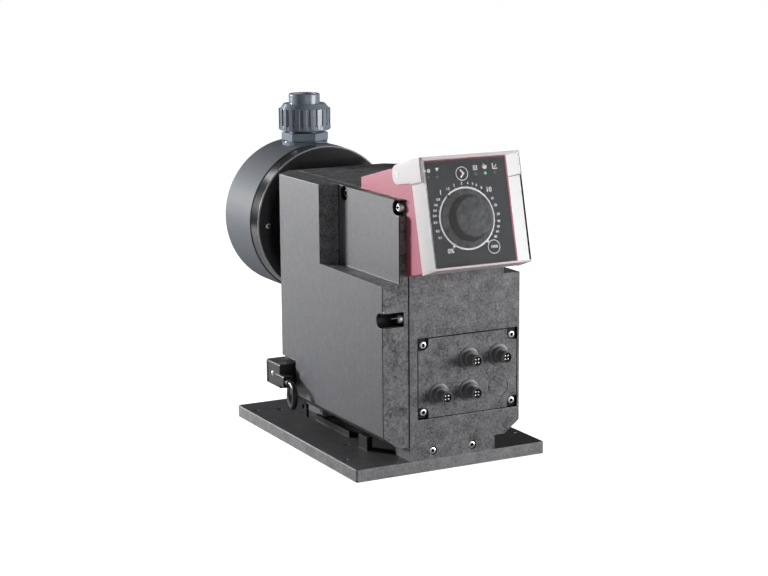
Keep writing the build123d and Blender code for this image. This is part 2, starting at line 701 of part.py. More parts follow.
def make_head():
    head_end = head_start + head_depth
    flange = rod_y(flange_disc_radius, flange_disc_start, head_start, 0, head_height)
    flange = chamfer(flange.edges().group_by(Axis.Y)[0], 1.2)
    flange += rod_y(neck_radius, housing_depth, flange_disc_start + 1, 0, head_height)
    flange -= rod_y(push_rod_radius + rod_clearance, 0, 400, 0, head_height)
    flange -= rod_y(chamber_radius, head_start - flange_recess, head_start + 1, 0, head_height)
    flange -= rod_y(diaphragm_radius, head_start - diaphragm_thickness / 2, head_start + 1, 0, head_height)
    screws = []
    for x, z in ring_places(flange_screw_circle, flange_screw_count):
        flange -= rod_y(flange_screw_radius, flange_disc_start - 1, flange_disc_start + 14, x, z)
        head = rod_y(flange_screw_head, flange_disc_start - 2.0, flange_disc_start, x, z)
        head = fillet(head.edges().group_by(Axis.Y)[0], 0.7)
        head -= rod_y(1.2, flange_disc_start - 3, flange_disc_start - 1.0, x, z)
        screws.append(head + rod_y(flange_screw_radius, flange_disc_start, flange_disc_start + 13, x, z))
    nodes["flange_screws"] = Compound(screws)

    head = rod_y(head_radius, head_start, head_end, 0, head_height)
    head = fillet(head.edges().group_by(Axis.Y)[-1], head_edge)
    head = chamfer(head.edges().group_by(Axis.Y)[0], 0.6)
    head -= rod_y(diaphragm_radius, head_start - 1, head_start + diaphragm_thickness / 2, 0, head_height)
    head -= rod_y(chamber_radius, head_start - 1, head_start + chamber_depth, 0, head_height)
    bolts = []
    for x, z in ring_places(head_bolt_circle, head_bolt_count, 180 / head_bolt_count):
        head -= rod_y(head_bolt_head + 0.6, head_end - head_bolt_sink, head_end + 1, x, z)
        head -= rod_y(head_bolt_radius, head_start - 1, head_end, x, z)
        flange -= rod_y(head_bolt_radius, head_start - 12, head_start + 1, x, z)
        bolt = rod_y(head_bolt_head, head_end - head_bolt_sink, head_end - head_bolt_sink + 8, x, z)
        bolt = chamfer(bolt.edges().group_by(Axis.Y)[-1], 0.6)
        socket = Plane(origin=(x, front + head_end - head_bolt_sink + 3.5, z),
                       z_dir=(0, 1, 0)) * RegularPolygon(3.5, 6)
        bolt -= extrude(socket, 6)
        bolts.append(bolt + rod_y(head_bolt_radius, head_start - 11.5, head_end - head_bolt_sink, x, z))
    nodes["head_bolts"] = Compound(bolts)
    for side in (-1, 1):
        low, high = sorted((head_height, head_height + side * head_radius))
        seat_low, seat_high = sorted((head_height + side * valve_seat_level, head_height + side
                                      * (head_radius + 2)))
        head -= rod_z(valve_flange_radius + 1.2, seat_low, seat_high, 0, valve_depth)
        inner = head_height + side * (valve_seat_level - valve_spigot_length)
        spigot_low, spigot_high = sorted((inner, seat_low if side > 0 else seat_high))
        head -= rod_z(valve_spigot_radius, spigot_low, spigot_high, 0, valve_depth)
        channel_low, channel_high = sorted((head_height + side * (chamber_radius - 12 - channel_radius),
                                            inner + side))
        head -= rod_z(channel_radius, channel_low, channel_high, 0, valve_depth)
        head -= rod_y(channel_radius, head_start, valve_depth, 0, head_height + side
                      * (chamber_radius - 12))
    nodes["drive_flange"] = flange
    nodes["dosing_head"] = head

    half = diaphragm_thickness / 2
    ring = rod_y(diaphragm_radius - 0.2, head_start - half, head_start + half, 0, head_height)
    middle = rod_y(core_radius + core_gap, head_start - 10, head_start + 10, 0, head_height)
    nodes["diaphragm"] = ring - middle
    profile = [(4.0, -5), (12, -5), (14, -half), (core_radius, -half), (core_radius, half),
               (14, half), (11, 3.5), (0, 4.2), (0, 0), (4.0, 0)]
    outline = [(radius, front + head_start + depth) for radius, depth in profile]
    core = revolve(Plane.XY * Polygon(*outline, align=None), Axis((0, 0, 0), (0, 1, 0)))
    nodes["diaphragm_core"] = Pos(0, 0, head_height) * core


def make_valve(name, flip):
    seat = valve_seat_level
    seat_top = seat + valve_flange_thickness
    step_radius = valve_neck_radius + 2
    profile = [(bore_radius, seat - valve_spigot_length),
               (valve_spigot_radius, seat - valve_spigot_length), (valve_spigot_radius, seat),
               (valve_flange_radius, seat), (valve_flange_radius, seat_top),
               (step_radius, seat_top), (step_radius, hex_level + 1),
               (valve_neck_radius, hex_level + 1), (valve_neck_radius, nut_level + 0.4),
               (thread_radius, nut_level + 1), (thread_radius, thread_top - 0.8),
               (thread_radius - 0.8, thread_top), (bore_radius, thread_top),
               (bore_radius, ball_chamber_high + 3), (ball_chamber_radius, ball_chamber_high),
               (ball_chamber_radius, ball_chamber_low + 3), (bore_radius, ball_chamber_low)]
    body = turned(profile, valve_depth, flip)
    hex_edge = head_height + flip * (hex_level + hex_height)
    hex_low, hex_high = sorted((head_height + flip * hex_level, hex_edge))
    hexagon = Rot(0, 0, -28) * extrude(RegularPolygon(hex_radius, 6), hex_high - hex_low)
    hexagon = Pos(0, front + valve_depth, hex_low) * hexagon
    hexagon = chamfer(hexagon.edges().group_by(Axis.Z)[0], 0.9)
    hexagon = chamfer(hexagon.edges().group_by(Axis.Z)[-1], 0.9)
    body += hexagon - rod_z(valve_neck_radius, 0, 500, 0, valve_depth)
    nodes[f"{name}_valve_body"] = body

    floor = ball_chamber_low if flip > 0 else ball_chamber_high + 3
    lift = math.sqrt(ball_radius ** 2 - bore_radius ** 2) + ball_gap
    ball_height = head_height + flip * floor + lift
    nodes[f"{name}_valve_ball"] = Pos(0, front + valve_depth, ball_height) * Sphere(ball_radius)

    top = nut_level + nut_height
    lip = thread_top + tail_collar_height + 0.6
    profile = [(thread_radius + nut_clearance, nut_level), (nut_radius - 0.8, nut_level),
               (nut_rib_radius - 0.3, nut_level + 0.8),
               (nut_rib_radius - 0.3, nut_level + nut_collar), (nut_radius, nut_level + nut_collar + 0.6),
               (nut_radius, top - nut_collar), (nut_radius - 4.4, top), (tail_radius + nut_clearance, top),
               (tail_radius + nut_clearance, lip), (thread_radius + nut_clearance, lip)]
    nut = turned(profile, valve_depth, flip)
    rib_ends = (head_height + flip * (nut_level + 2), head_height + flip * (top - nut_collar))
    rib_low, rib_high = sorted(rib_ends)
    rib = Box(2 * (nut_rib_radius - nut_radius), nut_rib_width, rib_high - rib_low)
    rib = Pos(nut_radius, 0, (rib_low + rib_high) / 2) * rib
    for step in range(nut_rib_count):
        nut += Pos(0, front + valve_depth, 0) * Rot(0, 0, 360 * step / nut_rib_count) * rib
    nodes[f"{name}_union_nut"] = nut

    ring = turned([(14.5, thread_top), (14.5 + seal_thickness, thread_top),
                   (14.5 + seal_thickness, thread_top + 0.6),
                   (14.5, thread_top + 0.6)], valve_depth, flip)
    nodes[f"{name}_valve_seal"] = ring
    low = thread_top + 0.6
    collar_top = low + tail_collar_height - 0.1
    profile = [(tail_collar_radius, low), (tail_collar_radius, collar_top), (tail_radius, collar_top),
               (tail_radius, tail_top - 0.8), (tail_radius - 0.8, tail_top),
               (tail_socket_radius, tail_top), (tail_socket_radius, tail_top - tail_socket_depth),
               (10.0, tail_top - tail_socket_depth), (10.0, low)]
    nodes[f"{name}_pipe_tail"] = turned(profile, valve_depth, flip)


def toothed_wheel(teeth, width, bore):
    """A spur gear with straight-flanked teeth that taper like the real form."""
    pitch = gear_module * teeth / 2
    tip = pitch + gear_module
    root = pitch - 1.25 * gear_module
    step = 360 / teeth
    points = []
    for tooth in range(teeth):
        for share, radius in ((-0.33, root), (-0.23, pitch), (-0.11, tip), (0.11, tip), (0.23, pitch),
                              (0.33, root)):
            angle = math.radians(step * (tooth + share))
            points.append((radius * math.cos(angle), radius * math.sin(angle)))
    outline = Polygon(*points, align=None) - Circle(bore)
    return extrude(outline, width / 2, both=True)


def make_drive():
    shaft_height = head_height
    centre_distance = gear_module * (gear_teeth + pinion_teeth) / 2 + 0.15
    motor_height = shaft_height - centre_distance
    left_in = frame_left + frame_wall
    right_in = frame_right - frame_wall

    frame_front = drive_depth - frame_reach
    mount_back = frame_back + frame_wall
    frame = box(frame_left, left_in, frame_front, frame_back, frame_low, frame_high)
    frame += box(right_in, frame_right, frame_front, frame_back, frame_low, frame_high)
    frame += box(frame_left, frame_right, frame_back - frame_wall, frame_back, frame_low, frame_high)
    frame += box(-mount_half_width, mount_half_width, frame_back, mount_back, mount_low, mount_high)
    frame += rod_y(push_rod_radius + 7, frame_back, housing_depth, 0, shaft_height)
    for side in (-1, 1):
        low, high = sorted((side * mount_half_width, side * (mount_half_width - mount_leg)))
        frame += box(low, high, mount_back - 1, housing_depth - housing_wall, mount_low, mount_high)
    frame -= rod_y(push_rod_radius + rod_clearance, frame_back - 2 * frame_wall, housing_depth + 8, 0,
                   shaft_height)
    frame -= rod_x(bearing_radius, frame_left - 1, frame_right + 1, drive_depth, shaft_height)
    frame -= rod_x(11, right_in - 1, frame_right + 1, drive_depth, motor_height)
    nodes["drive_frame"] = frame

    bearings = []
    for low in (frame_left, right_in):
        ring = rod_x(bearing_radius, low, low + frame_wall, drive_depth, shaft_height)
        bearings.append(ring - rod_x(drive_shaft_radius + 0.05, low - 1, low + frame_wall + 1,
                                     drive_depth, shaft_height))
    nodes["shaft_bearings"] = Compound(bearings)

    shaft = rod_x(drive_shaft_radius, frame_left, gear_x + gear_width / 2 + 1, drive_depth, shaft_height)
    shaft += rod_x(eccentric_radius, -eccentric_width / 2, eccentric_width / 2, drive_depth, shaft_height
                   + eccentric_throw)
    nodes["eccentric_shaft"] = shaft
    wheel = toothed_wheel(gear_teeth, gear_width, drive_shaft_radius)
    for step in range(6):
        angle = math.radians(60 * step)
        wheel -= Pos(27 * math.cos(angle), 27 * math.sin(angle)) * Cylinder(8, gear_width + 2)
    upright_turn = Rot(0, 90, 0)
    nodes["drive_gear"] = Pos(gear_x, front + drive_depth, shaft_height) * upright_turn * wheel

    half = motor_size / 2
    low_x = right_in - motor_length
    motor = box(low_x, right_in, drive_depth - half, drive_depth + half,
                motor_height - half, motor_height + half)
    motor = chamfer(motor.edges().filter_by(Axis.X), 5)
    motor -= rod_x(10.5, right_in - 3, right_in + 1, drive_depth, motor_height)
    nodes["stepper_motor"] = motor - rod_x(3.05, low_x + 8, right_in + 1, drive_depth, motor_height)
    pinion = Rot(0, 0, 180 / pinion_teeth) * toothed_wheel(pinion_teeth, gear_width, 2.5)
    pinion = Pos(gear_x, front + drive_depth, motor_height) * upright_turn * pinion
    motor_shaft = rod_x(3.0, low_x + 8.5, gear_x + gear_width / 2, drive_depth, motor_height)
    nodes["motor_pinion"] = pinion + motor_shaft

    window = 2 * eccentric_radius + 2 * yoke_gap
    outer = window + 2 * yoke_wall
    yoke = box(-yoke_width / 2, yoke_width / 2, drive_depth - outer / 2, drive_depth + outer / 2,
               shaft_height - outer / 2, shaft_height + outer / 2)
    yoke -= box(-yoke_width, yoke_width, drive_depth - window / 2, drive_depth + window / 2,
                shaft_height - window / 2, shaft_height + window / 2)
    rod = rod_y(push_rod_radius, drive_depth + outer / 2 - 1, head_start - 5, 0, shaft_height)
    rod += rod_y(3.9, head_start - 6, head_start - 0.2, 0, shaft_height)
    nodes["push_rod"] = yoke + rod


def lead_path():
    """Route of the mains lead: a bend below its exit, then to the rear and over the plate's rear edge."""
    x, depth, z = lead_exit
    on_floor = lead_radius + tie_thickness
    coil_y = coil_depth - coil_outer_turn()
    points = [(x, depth, z), (x, depth - 7, z), (x - 1.6, depth - 14.3, z - 7.3),
              (x - 1.9, depth - 14.3, z - 17.7), (x - 0.4, depth - 7, z - 25),
              (x + 4, depth + 8, z - 24.8), (x + 10.1, depth + 25, z - 21.5),
              (x + 19, depth + 43, z - 20), (x + 27.5, depth + 62, z - 21.5),
              (x + 37, depth + 80, z - 27.2), (x + 45.5, depth + 95, z - 35.6),
              (x + 54, depth + 105, z - 42.5), (x + 66, coil_y - 6, z - 48),
              (x + 81, coil_y - 0.8, z - 51.4), (x + 104, coil_y + 0.2, on_floor + 0.1),
              (coil_x, coil_y, on_floor)]
    return [Vector(px, front + py, pz) for px, py, pz in points]


def coil_outer_turn():
    """Radius of the coil's outermost turn, on the lead's centre line."""
    return coil_turn_radius + (coil_columns - 1) * lead_radius


def rounded_run(route):
    """A tube along straight runs joined by arcs, each as large as its two runs allow."""
    radii = []
    for before, here, after in zip(route, route[1:], route[2:]):
        turn = (here - before).get_angle(after - here)
        run = min((here - before).length, (after - here).length)
        radii.append(0.45 * run / math.tan(math.radians(turn) / 2))
    print("lead radii", [round(radius, 1) for radius in radii])
    spine = FilletPolyline(*route, radius=radii)
    start = Plane(origin=route[0], z_dir=route[1] - route[0])
    tube = sweep(start * Circle(lead_radius), path=spine)
    print("lead volume over section times length",
          round(tube.volume / (math.pi * lead_radius ** 2 * spine.length), 4))
    print("lead length", round(spine.length, 1))
    return tube


def make_lead():
    lead = rounded_run(lead_path())
    nodes["mains_lead"] = lead

    half_section = coil_columns * lead_radius
    low = tie_thickness
    high = low + 2 * lead_radius * coil_layers
    coil = rod_z(coil_turn_radius + half_section, low, high, coil_x, coil_depth)
    coil -= rod_z(coil_turn_radius - half_section, low - 1, high + 1, coil_x, coil_depth)
    tail_x = coil_x + coil_outer_turn()
    tail_z = high - lead_radius
    tail = rod_y(lead_radius, coil_depth, coil_depth + tail_length, tail_x, tail_z)
    room = lead_radius + coil_notch_gap
    lead_y = coil_depth - coil_outer_turn()
    coil -= box(coil_x - coil_turn_radius, coil_x + coil_notch_gap, lead_y - 3 * room, lead_y + room,
                low - 1, low + 2 * room)
    coil -= box(tail_x - room, tail_x + 3 * room,
                coil_depth - coil_notch_gap, coil_depth + coil_turn_radius,
                high - 2 * room, high + 1)
    ties = []
    for side in (-1, 1):
        reach = half_section + tie_thickness
        band = Box(2 * reach, tie_width, high + tie_thickness)
        band = fillet(band.edges().filter_by(Axis.Y), 2.5)
        turn = Rot(0, 0, tie_turn + 90 * (side - 1)) * Pos(coil_turn_radius, 0, 0)
        middle = Pos(coil_x, front + coil_depth, (high + tie_thickness) / 2)
        ties.append(middle * turn * band - coil)
    nodes["lead_ties"] = Compound(ties)
    nodes["mains_lead_coil"] = coil
    nodes["mains_lead_tail"] = tail

    body_start = coil_depth + tail_length + plug_relief_length
    body_end = body_start + plug_body_length
    plug = rod_y(plug_body_radius, body_start, body_end, tail_x, tail_z)
    plug = fillet(plug.edges(), 2.0)
    cone = Rot(90, 0, 0) * Cone(8.5, lead_radius + 1.6, plug_relief_length + 1)
    plug += Pos(tail_x, front + body_start - plug_relief_length / 2 + 0.5, tail_z) * cone
    plug &= box(-300, 300, 0, 900, 0, 200)
    for side in (-1, 1):
        pin_x = tail_x + side * plug_pin_spacing / 2
        plug += rod_y(plug_pin_radius, body_end - 1, body_end + plug_pin_length, pin_x, tail_z)
    nodes["wall_plug"] = plug


def make_mains():
    inlet = box(notch_x - inlet_depth, notch_x, inlet_start, inlet_end, inlet_low, inlet_high)
    inlet += box(notch_x - 16, notch_x - inlet_depth, inlet_start + 6, inlet_end - 8,
                 inlet_low + 6, inlet_high - 6)
    nodes["mains_inlet"] = inlet
    plug = box(plug_outer_x, notch_x - 16, plug_start, plug_end, plug_low, plug_high)
    plug = chamfer(plug.edges().filter_by(Axis.Y).group_by(Axis.X)[0], 1.2)
    plug -= box(plug_outer_x - 1, plug_outer_x + 1.2, plug_end - 5, plug_end - 3.6, 0, 100)
    exit_z = lead_exit[2]
    boss = box(plug_outer_x - 1.6, plug_outer_x + 10, boss_start, plug_start + 9,
               exit_z - 6.2, exit_z + 6.2)
    boss = chamfer(boss.edges().filter_by(Axis.Y), 1.0)
    plug += boss
    screw_depth = plug_end - 14
    screw_z = 59.0
    plug -= rod_x(3.0, plug_outer_x - 1, plug_outer_x + 2, screw_depth, screw_z)
    plug -= rod_x(1.5, plug_outer_x - 1, plug_outer_x + 12, screw_depth, screw_z)
    plug -= rod_y(lead_radius + 1.0, boss_start - 1, boss_start + 5, lead_exit[0], exit_z)
    nodes["mains_connector"] = plug
    screw = rod_x(2.8, plug_outer_x, plug_outer_x + 2, screw_depth, screw_z)
    screw -= box(plug_outer_x - 1, plug_outer_x + 0.8, screw_depth - 4, screw_depth + 4,
                 screw_z - 0.4, screw_z + 0.4)
    screw += rod_x(1.5, plug_outer_x + 2, plug_outer_x + 11, screw_depth, screw_z)
    nodes["connector_screw"] = screw
    relief_length = boss_start + 5 - lead_exit[1]
    relief = Rot(90, 0, 0) * Cone(lead_radius + 0.1, lead_radius + 1.0, relief_length)
    relief = Pos(lead_exit[0], front + lead_exit[1] + relief_length / 2, exit_z) * relief
    nodes["lead_strain_relief"] = relief


def build():
    make_base_plate()
    make_housing()
    make_side_screws()
    make_foot_screws()
    make_connection_plate()
    make_connectors()
    make_control_unit()
    make_clear_cover()
    make_head()
    make_valve("discharge", 1)
    make_valve("suction", -1)
    make_drive()
    make_mains()
    make_lead()
    os.makedirs("parts", exist_ok=True)
    for name, shape in nodes.items():
        export_step(shape, f"parts/{name}.step")
    print(len(nodes), "nodes")


build()
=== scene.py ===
"""Looks for the diaphragm metering pump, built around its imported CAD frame. Metres, same frame as the CAD."""
import json
import math

import bmesh
import bpy
from mathutils import Matrix, Vector

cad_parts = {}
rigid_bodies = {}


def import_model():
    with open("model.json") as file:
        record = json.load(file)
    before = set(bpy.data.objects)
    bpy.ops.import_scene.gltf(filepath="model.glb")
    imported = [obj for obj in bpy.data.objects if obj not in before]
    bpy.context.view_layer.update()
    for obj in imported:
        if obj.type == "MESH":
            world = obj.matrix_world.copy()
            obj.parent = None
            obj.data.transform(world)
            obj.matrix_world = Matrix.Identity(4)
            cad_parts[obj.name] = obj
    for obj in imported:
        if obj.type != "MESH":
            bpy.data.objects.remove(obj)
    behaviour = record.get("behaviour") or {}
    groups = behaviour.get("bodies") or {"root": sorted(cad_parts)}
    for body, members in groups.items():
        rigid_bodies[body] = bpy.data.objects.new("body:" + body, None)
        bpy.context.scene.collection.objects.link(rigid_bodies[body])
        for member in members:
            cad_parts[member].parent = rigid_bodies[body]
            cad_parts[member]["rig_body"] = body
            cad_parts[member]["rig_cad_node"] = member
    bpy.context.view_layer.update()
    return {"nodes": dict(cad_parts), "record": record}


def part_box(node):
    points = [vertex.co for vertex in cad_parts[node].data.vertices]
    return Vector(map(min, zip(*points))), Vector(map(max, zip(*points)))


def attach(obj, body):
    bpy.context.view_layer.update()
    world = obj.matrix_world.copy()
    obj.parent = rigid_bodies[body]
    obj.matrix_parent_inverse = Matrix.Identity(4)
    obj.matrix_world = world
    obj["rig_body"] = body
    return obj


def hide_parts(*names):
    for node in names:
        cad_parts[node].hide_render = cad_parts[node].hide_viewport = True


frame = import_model()
nodes = frame["nodes"]
mm = 0.001

# Places on the pump, in metres, worked out from the frame
front_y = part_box("base_plate")[0].y
plate_top = 0.0127
tilt = math.radians(13.6)
panel_right = Vector((1, 0, 0))
panel_up = Vector((0, math.sin(tilt), math.cos(tilt)))
panel_out = Vector((0, -math.cos(tilt), math.sin(tilt)))
dial_centre = Vector((0, front_y - 0.0273, 0.2544))
panel_turn = Matrix((panel_right, panel_up, panel_out)).transposed()
film_stand = -0.2 * mm
upper_x, side_x = -58.5 * mm, -77.25 * mm
pockets = [(6.5 * mm, 264.5 * mm, upper_x, -52 * mm), (117.5 * mm, 264.5 * mm, upper_x, -52 * mm),
           (6.5 * mm, 156 * mm, side_x, -54.25 * mm)]
valve_y = (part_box("discharge_union_nut")[0].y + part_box("discharge_union_nut")[1].y) / 2
head_z = (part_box("dosing_head")[0].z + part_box("dosing_head")[1].z) / 2


# Hands-on modelling steps

def clear_selection():
    if bpy.context.object is not None and bpy.context.object.mode != "OBJECT":
        bpy.ops.object.mode_set(mode="OBJECT")
    bpy.ops.object.select_all(action="DESELECT")


def pick(piece):
    clear_selection()
    piece.select_set(True)
    bpy.context.view_layer.objects.active = piece


def named(name):
    piece = bpy.context.object
    piece.name = name
    piece.data.name = name
    return piece


def settle(piece):
    """Puts the object back at the origin, with its place in its mesh."""
    pick(piece)
    bpy.ops.object.transform_apply(location=True, rotation=True, scale=True)
    return piece


def tidy_mesh(piece, distance=1e-6):
    pick(piece)
    bpy.ops.object.mode_set(mode="EDIT")
    bpy.ops.mesh.select_all(action="SELECT")
    bpy.ops.mesh.remove_doubles(threshold=distance)
    bpy.ops.mesh.normals_make_consistent(inside=False)
    bpy.ops.object.mode_set(mode="OBJECT")
    return piece


def smooth(piece, angle=32):
    """Smooth shading up to the angle, in which large flat faces stay flat up to their rounded edges."""
    pick(piece)
    bpy.ops.object.shade_smooth_by_angle(angle=math.radians(angle))
    weighted = piece.modifiers.new("flat faces stay flat", "WEIGHTED_NORMAL")
    weighted.keep_sharp = True
    weighted.weight = 80
    bpy.ops.object.modifier_apply(modifier=weighted.name)
    return piece


def soften(piece, width, segments=2, angle=32):
    """Rounds every sharp edge by the width, as a moulding tool leaves it."""
    pick(piece)
    bevel = piece.modifiers.new("edge radius", "BEVEL")
    bevel.width = width
    bevel.segments = segments
    bevel.limit_method = "ANGLE"
    bevel.angle_limit = math.radians(angle)
    bevel.use_clamp_overlap = False
    bevel.miter_outer = "MITER_ARC"
    bpy.ops.object.modifier_apply(modifier=bevel.name)
    return smooth(piece, 40)


def refined(node, width, segments=2, flat=1.0):
    """A copy of a CAD node with its flat faces made whole again and its edges rounded."""
    piece = nodes[node].copy()
    piece.data = nodes[node].data.copy()
    bpy.context.scene.collection.objects.link(piece)
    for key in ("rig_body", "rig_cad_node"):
        if key in piece:
            del piece[key]
    piece.parent = None
    piece.matrix_world = Matrix.Identity(4)
    piece.name = node + "_moulding"
    piece.data.name = piece.name
    pick(piece)
    bpy.ops.object.mode_set(mode="EDIT")
    bpy.ops.mesh.select_all(action="SELECT")
    bpy.ops.mesh.customdata_custom_splitnormals_clear()
    bpy.ops.mesh.remove_doubles(threshold=2e-6)
    bpy.ops.mesh.dissolve_limited(angle_limit=math.radians(flat))
    bpy.ops.object.mode_set(mode="OBJECT")
    if width:
        soften(piece, width, segments)
    else:
        smooth(piece, 40)
    return piece


def body_of(node):
    for body, members in frame["record"]["behaviour"]["bodies"].items():
        if node in members:
            return body
    return None


def stands_for(piece, *replaced):
    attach(piece, body_of(replaced[0]))
    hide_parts(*replaced)
    return piece


def goes_with(piece, node):
    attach(piece, body_of(node))
    return piece


def paint(piece, *materials):
    piece.data.materials.clear()
    for material in materials:
        piece.data.materials.append(material)
    return piece


def on_panel(piece, x, rise, stand=0.0):
    """Lays a finished flat piece on the leaning panel, with its own +Z outwards."""
    place = dial_centre + panel_right * x + panel_up * rise + panel_out * stand
    piece.matrix_world = Matrix.Translation(place) @ panel_turn.to_4x4() @ piece.matrix_world
    return settle(piece)


# Shader groups that several materials share

def new_group(name, inputs, outputs):
    group = bpy.data.node_groups.new(name, "ShaderNodeTree")
    for label, kind, value in inputs:
        socket = group.interface.new_socket(name=label, in_out="INPUT", socket_type=kind)
        socket.default_value = value
    for label, kind in outputs:
        group.interface.new_socket(name=label, in_out="OUTPUT", socket_type=kind)
    start = group.nodes.new("NodeGroupInput")
    end = group.nodes.new("NodeGroupOutput")
    start.location = (-900, 0)
    end.location = (700, 0)
    return group, start, end


def put(tree, kind, x=0, y=0, **values):
    node = tree.nodes.new(kind)
    node.location = (x, y)
    for key, value in values.items():
        if hasattr(node, key):
            setattr(node, key, value)
        else:
            node.inputs[key.replace("_", " ").title()].default_value = value
    return node


def make_grain():
    """Spark-eroded mould grain: fine pits over slower unevenness, and a shade that varies with both."""
    group, start, end = new_group(
        "moulded grain",
        [("Size", "NodeSocketFloat", 900.0), ("Depth", "NodeSocketFloat", 1.0), ("Contrast", "NodeSocketFloat", 0.3)],
        [("Height", "NodeSocketFloat"), ("Shade", "NodeSocketFloat")])
    link = group.links.new
    place = put(group, "ShaderNodeTexCoord", -1100, -200)
    fine = put(group, "ShaderNodeTexNoise", -600, 200, detail=4.0, roughness=0.65)
    slow = put(group, "ShaderNodeTexNoise", -600, -200, detail=3.0, roughness=0.6)
    quarter = put(group, "ShaderNodeMath", -800, -200, operation="MULTIPLY")
    quarter.inputs[1].default_value = 0.22
    link(place.outputs["Object"], fine.inputs["Vector"])
    link(place.outputs["Object"], slow.inputs["Vector"])
    link(start.outputs["Size"], fine.inputs["Scale"])
    link(start.outputs["Size"], quarter.inputs[0])
    link(quarter.outputs[0], slow.inputs["Scale"])
    blend = put(group, "ShaderNodeMath", -350, 0, operation="MULTIPLY_ADD")
    blend.inputs[1].default_value = 0.6
    link(slow.outputs["Fac"], blend.inputs[0])
    link(fine.outputs["Fac"], blend.inputs[2])
    deep = put(group, "ShaderNodeMath", -100, 100, operation="MULTIPLY")
    link(blend.outputs[0], deep.inputs[0])
    link(start.outputs["Depth"], deep.inputs[1])
    link(deep.outputs[0], end.inputs["Height"])
    centred = put(group, "ShaderNodeMath", -100, -100, operation="SUBTRACT")
    centred.inputs[1].default_value = 0.8
    link(blend.outputs[0], centred.inputs[0])
    shade = put(group, "ShaderNodeMath", 150, -100, operation="MULTIPLY_ADD")
    shade.inputs[2].default_value = 1.0
    link(centred.outputs[0], shade.inputs[0])
    link(start.outputs["Contrast"], shade.inputs[1])
    link(shade.outputs[0], end.inputs["Shade"])
    return group


def make_streaks():
    """Faint marks drawn along one direction, as a mould's opening or a lathe leaves them."""
    group, start, end = new_group(
        "drawn streaks",
        [("Across", "NodeSocketVector", (300.0, 300.0, 9.0)), ("Contrast", "NodeSocketFloat", 0.2)],
        [("Shade", "NodeSocketFloat")])
    link = group.links.new
    place = put(group, "ShaderNodeTexCoord", -1100, -200)
    stretch = put(group, "ShaderNodeVectorMath", -850, -100, operation="MULTIPLY")
    noise = put(group, "ShaderNodeTexNoise", -600, 0, scale=1.0, detail=5.0, roughness=0.7)
    link(place.outputs["Object"], stretch.inputs[0])
    link(start.outputs["Across"], stretch.inputs[1])
    link(stretch.outputs[0], noise.inputs["Vector"])
    centred = put(group, "ShaderNodeMath", -300, 0, operation="SUBTRACT")
    centred.inputs[1].default_value = 0.5
    shade = put(group, "ShaderNodeMath", -50, 0, operation="MULTIPLY_ADD")
    shade.inputs[2].default_value = 1.0
    link(noise.outputs["Fac"], centred.inputs[0])
    link(centred.outputs[0], shade.inputs[0])
    link(start.outputs["Contrast"], shade.inputs[1])
    link(shade.outputs[0], end.inputs["Shade"])
    return group


grain_group = make_grain()
streak_group = make_streaks()


def new_material(name, colour, roughness, metallic=0.0):
    material = bpy.data.materials.new(name)
    material.use_nodes = True
    tree = material.node_tree
    shader = tree.nodes["Principled BSDF"]
    shader.inputs["Base Color"].default_value = (*colour, 1.0)
    shader.inputs["Roughness"].default_value = roughness
    shader.inputs["Metallic"].default_value = metallic
    material.diffuse_color = (*colour, 1.0)
    return material, tree, shader


def moulded(name, colour, roughness=0.5, size=900.0, depth=0.00004, contrast=0.3, streaks=0.0,
            across=(300.0, 300.0, 9.0), specular=0.5, rough_change=0.15):
    """Plastic from a mould: its colour and roughness vary with the grain, which also stands in relief."""
    material, tree, shader = new_material(name, colour, roughness)
    shader.inputs["Specular IOR Level"].default_value = specular
    link = tree.links.new
    grain = put(tree, "ShaderNodeGroup", -700, 0, node_tree=grain_group)
    grain.inputs["Size"].default_value = size
    grain.inputs["Contrast"].default_value = contrast
    base = put(tree, "ShaderNodeMix", -250, 200, data_type="RGBA", blend_type="MULTIPLY")
    base.inputs["Factor"].default_value = 1.0
    base.inputs["A"].default_value = (*colour, 1.0)
    shade = grain.outputs["Shade"]
    if streaks:
        drawn = put(tree, "ShaderNodeGroup", -700, 300, node_tree=streak_group)
        drawn.inputs["Across"].default_value = across
        drawn.inputs["Contrast"].default_value = streaks
        both = put(tree, "ShaderNodeMath", -450, 200, operation="MULTIPLY")
        link(drawn.outputs["Shade"], both.inputs[0])
        link(grain.outputs["Shade"], both.inputs[1])
        shade = both.outputs[0]
    link(shade, base.inputs["B"])
    link(base.outputs["Result"], shader.inputs["Base Color"])
    rough = put(tree, "ShaderNodeMath", -250, -50, operation="MULTIPLY_ADD")
    rough.inputs[1].default_value = -rough_change
    rough.inputs[2].default_value = roughness + rough_change
    link(grain.outputs["Shade"], rough.inputs[0])
    link(rough.outputs[0], shader.inputs["Roughness"])
    bump = put(tree, "ShaderNodeBump", -250, -250)
    bump.inputs["Strength"].default_value = 1.0
    bump.inputs["Distance"].default_value = depth
    link(grain.outputs["Height"], bump.inputs["Height"])
    link(bump.outputs["Normal"], shader.inputs["Normal"])
    return material


def metal(name, colour, roughness, size=1500.0, depth=0.000008, across=(60.0, 60.0, 60.0), streaks=0.3):
    material = moulded(name, colour, roughness, size, depth, 0.15, streaks, across, 0.5, 0.25)
    material.node_tree.nodes["Principled BSDF"].inputs["Metallic"].default_value = 1.0
    return material


def plain_glow(name, colour, strength, base):
    material, tree, shader = new_material(name, base, 0.25)
    shader.inputs["Emission Color"].default_value = (*colour, 1.0)
    shader.inputs["Emission Strength"].default_value = strength
    return material


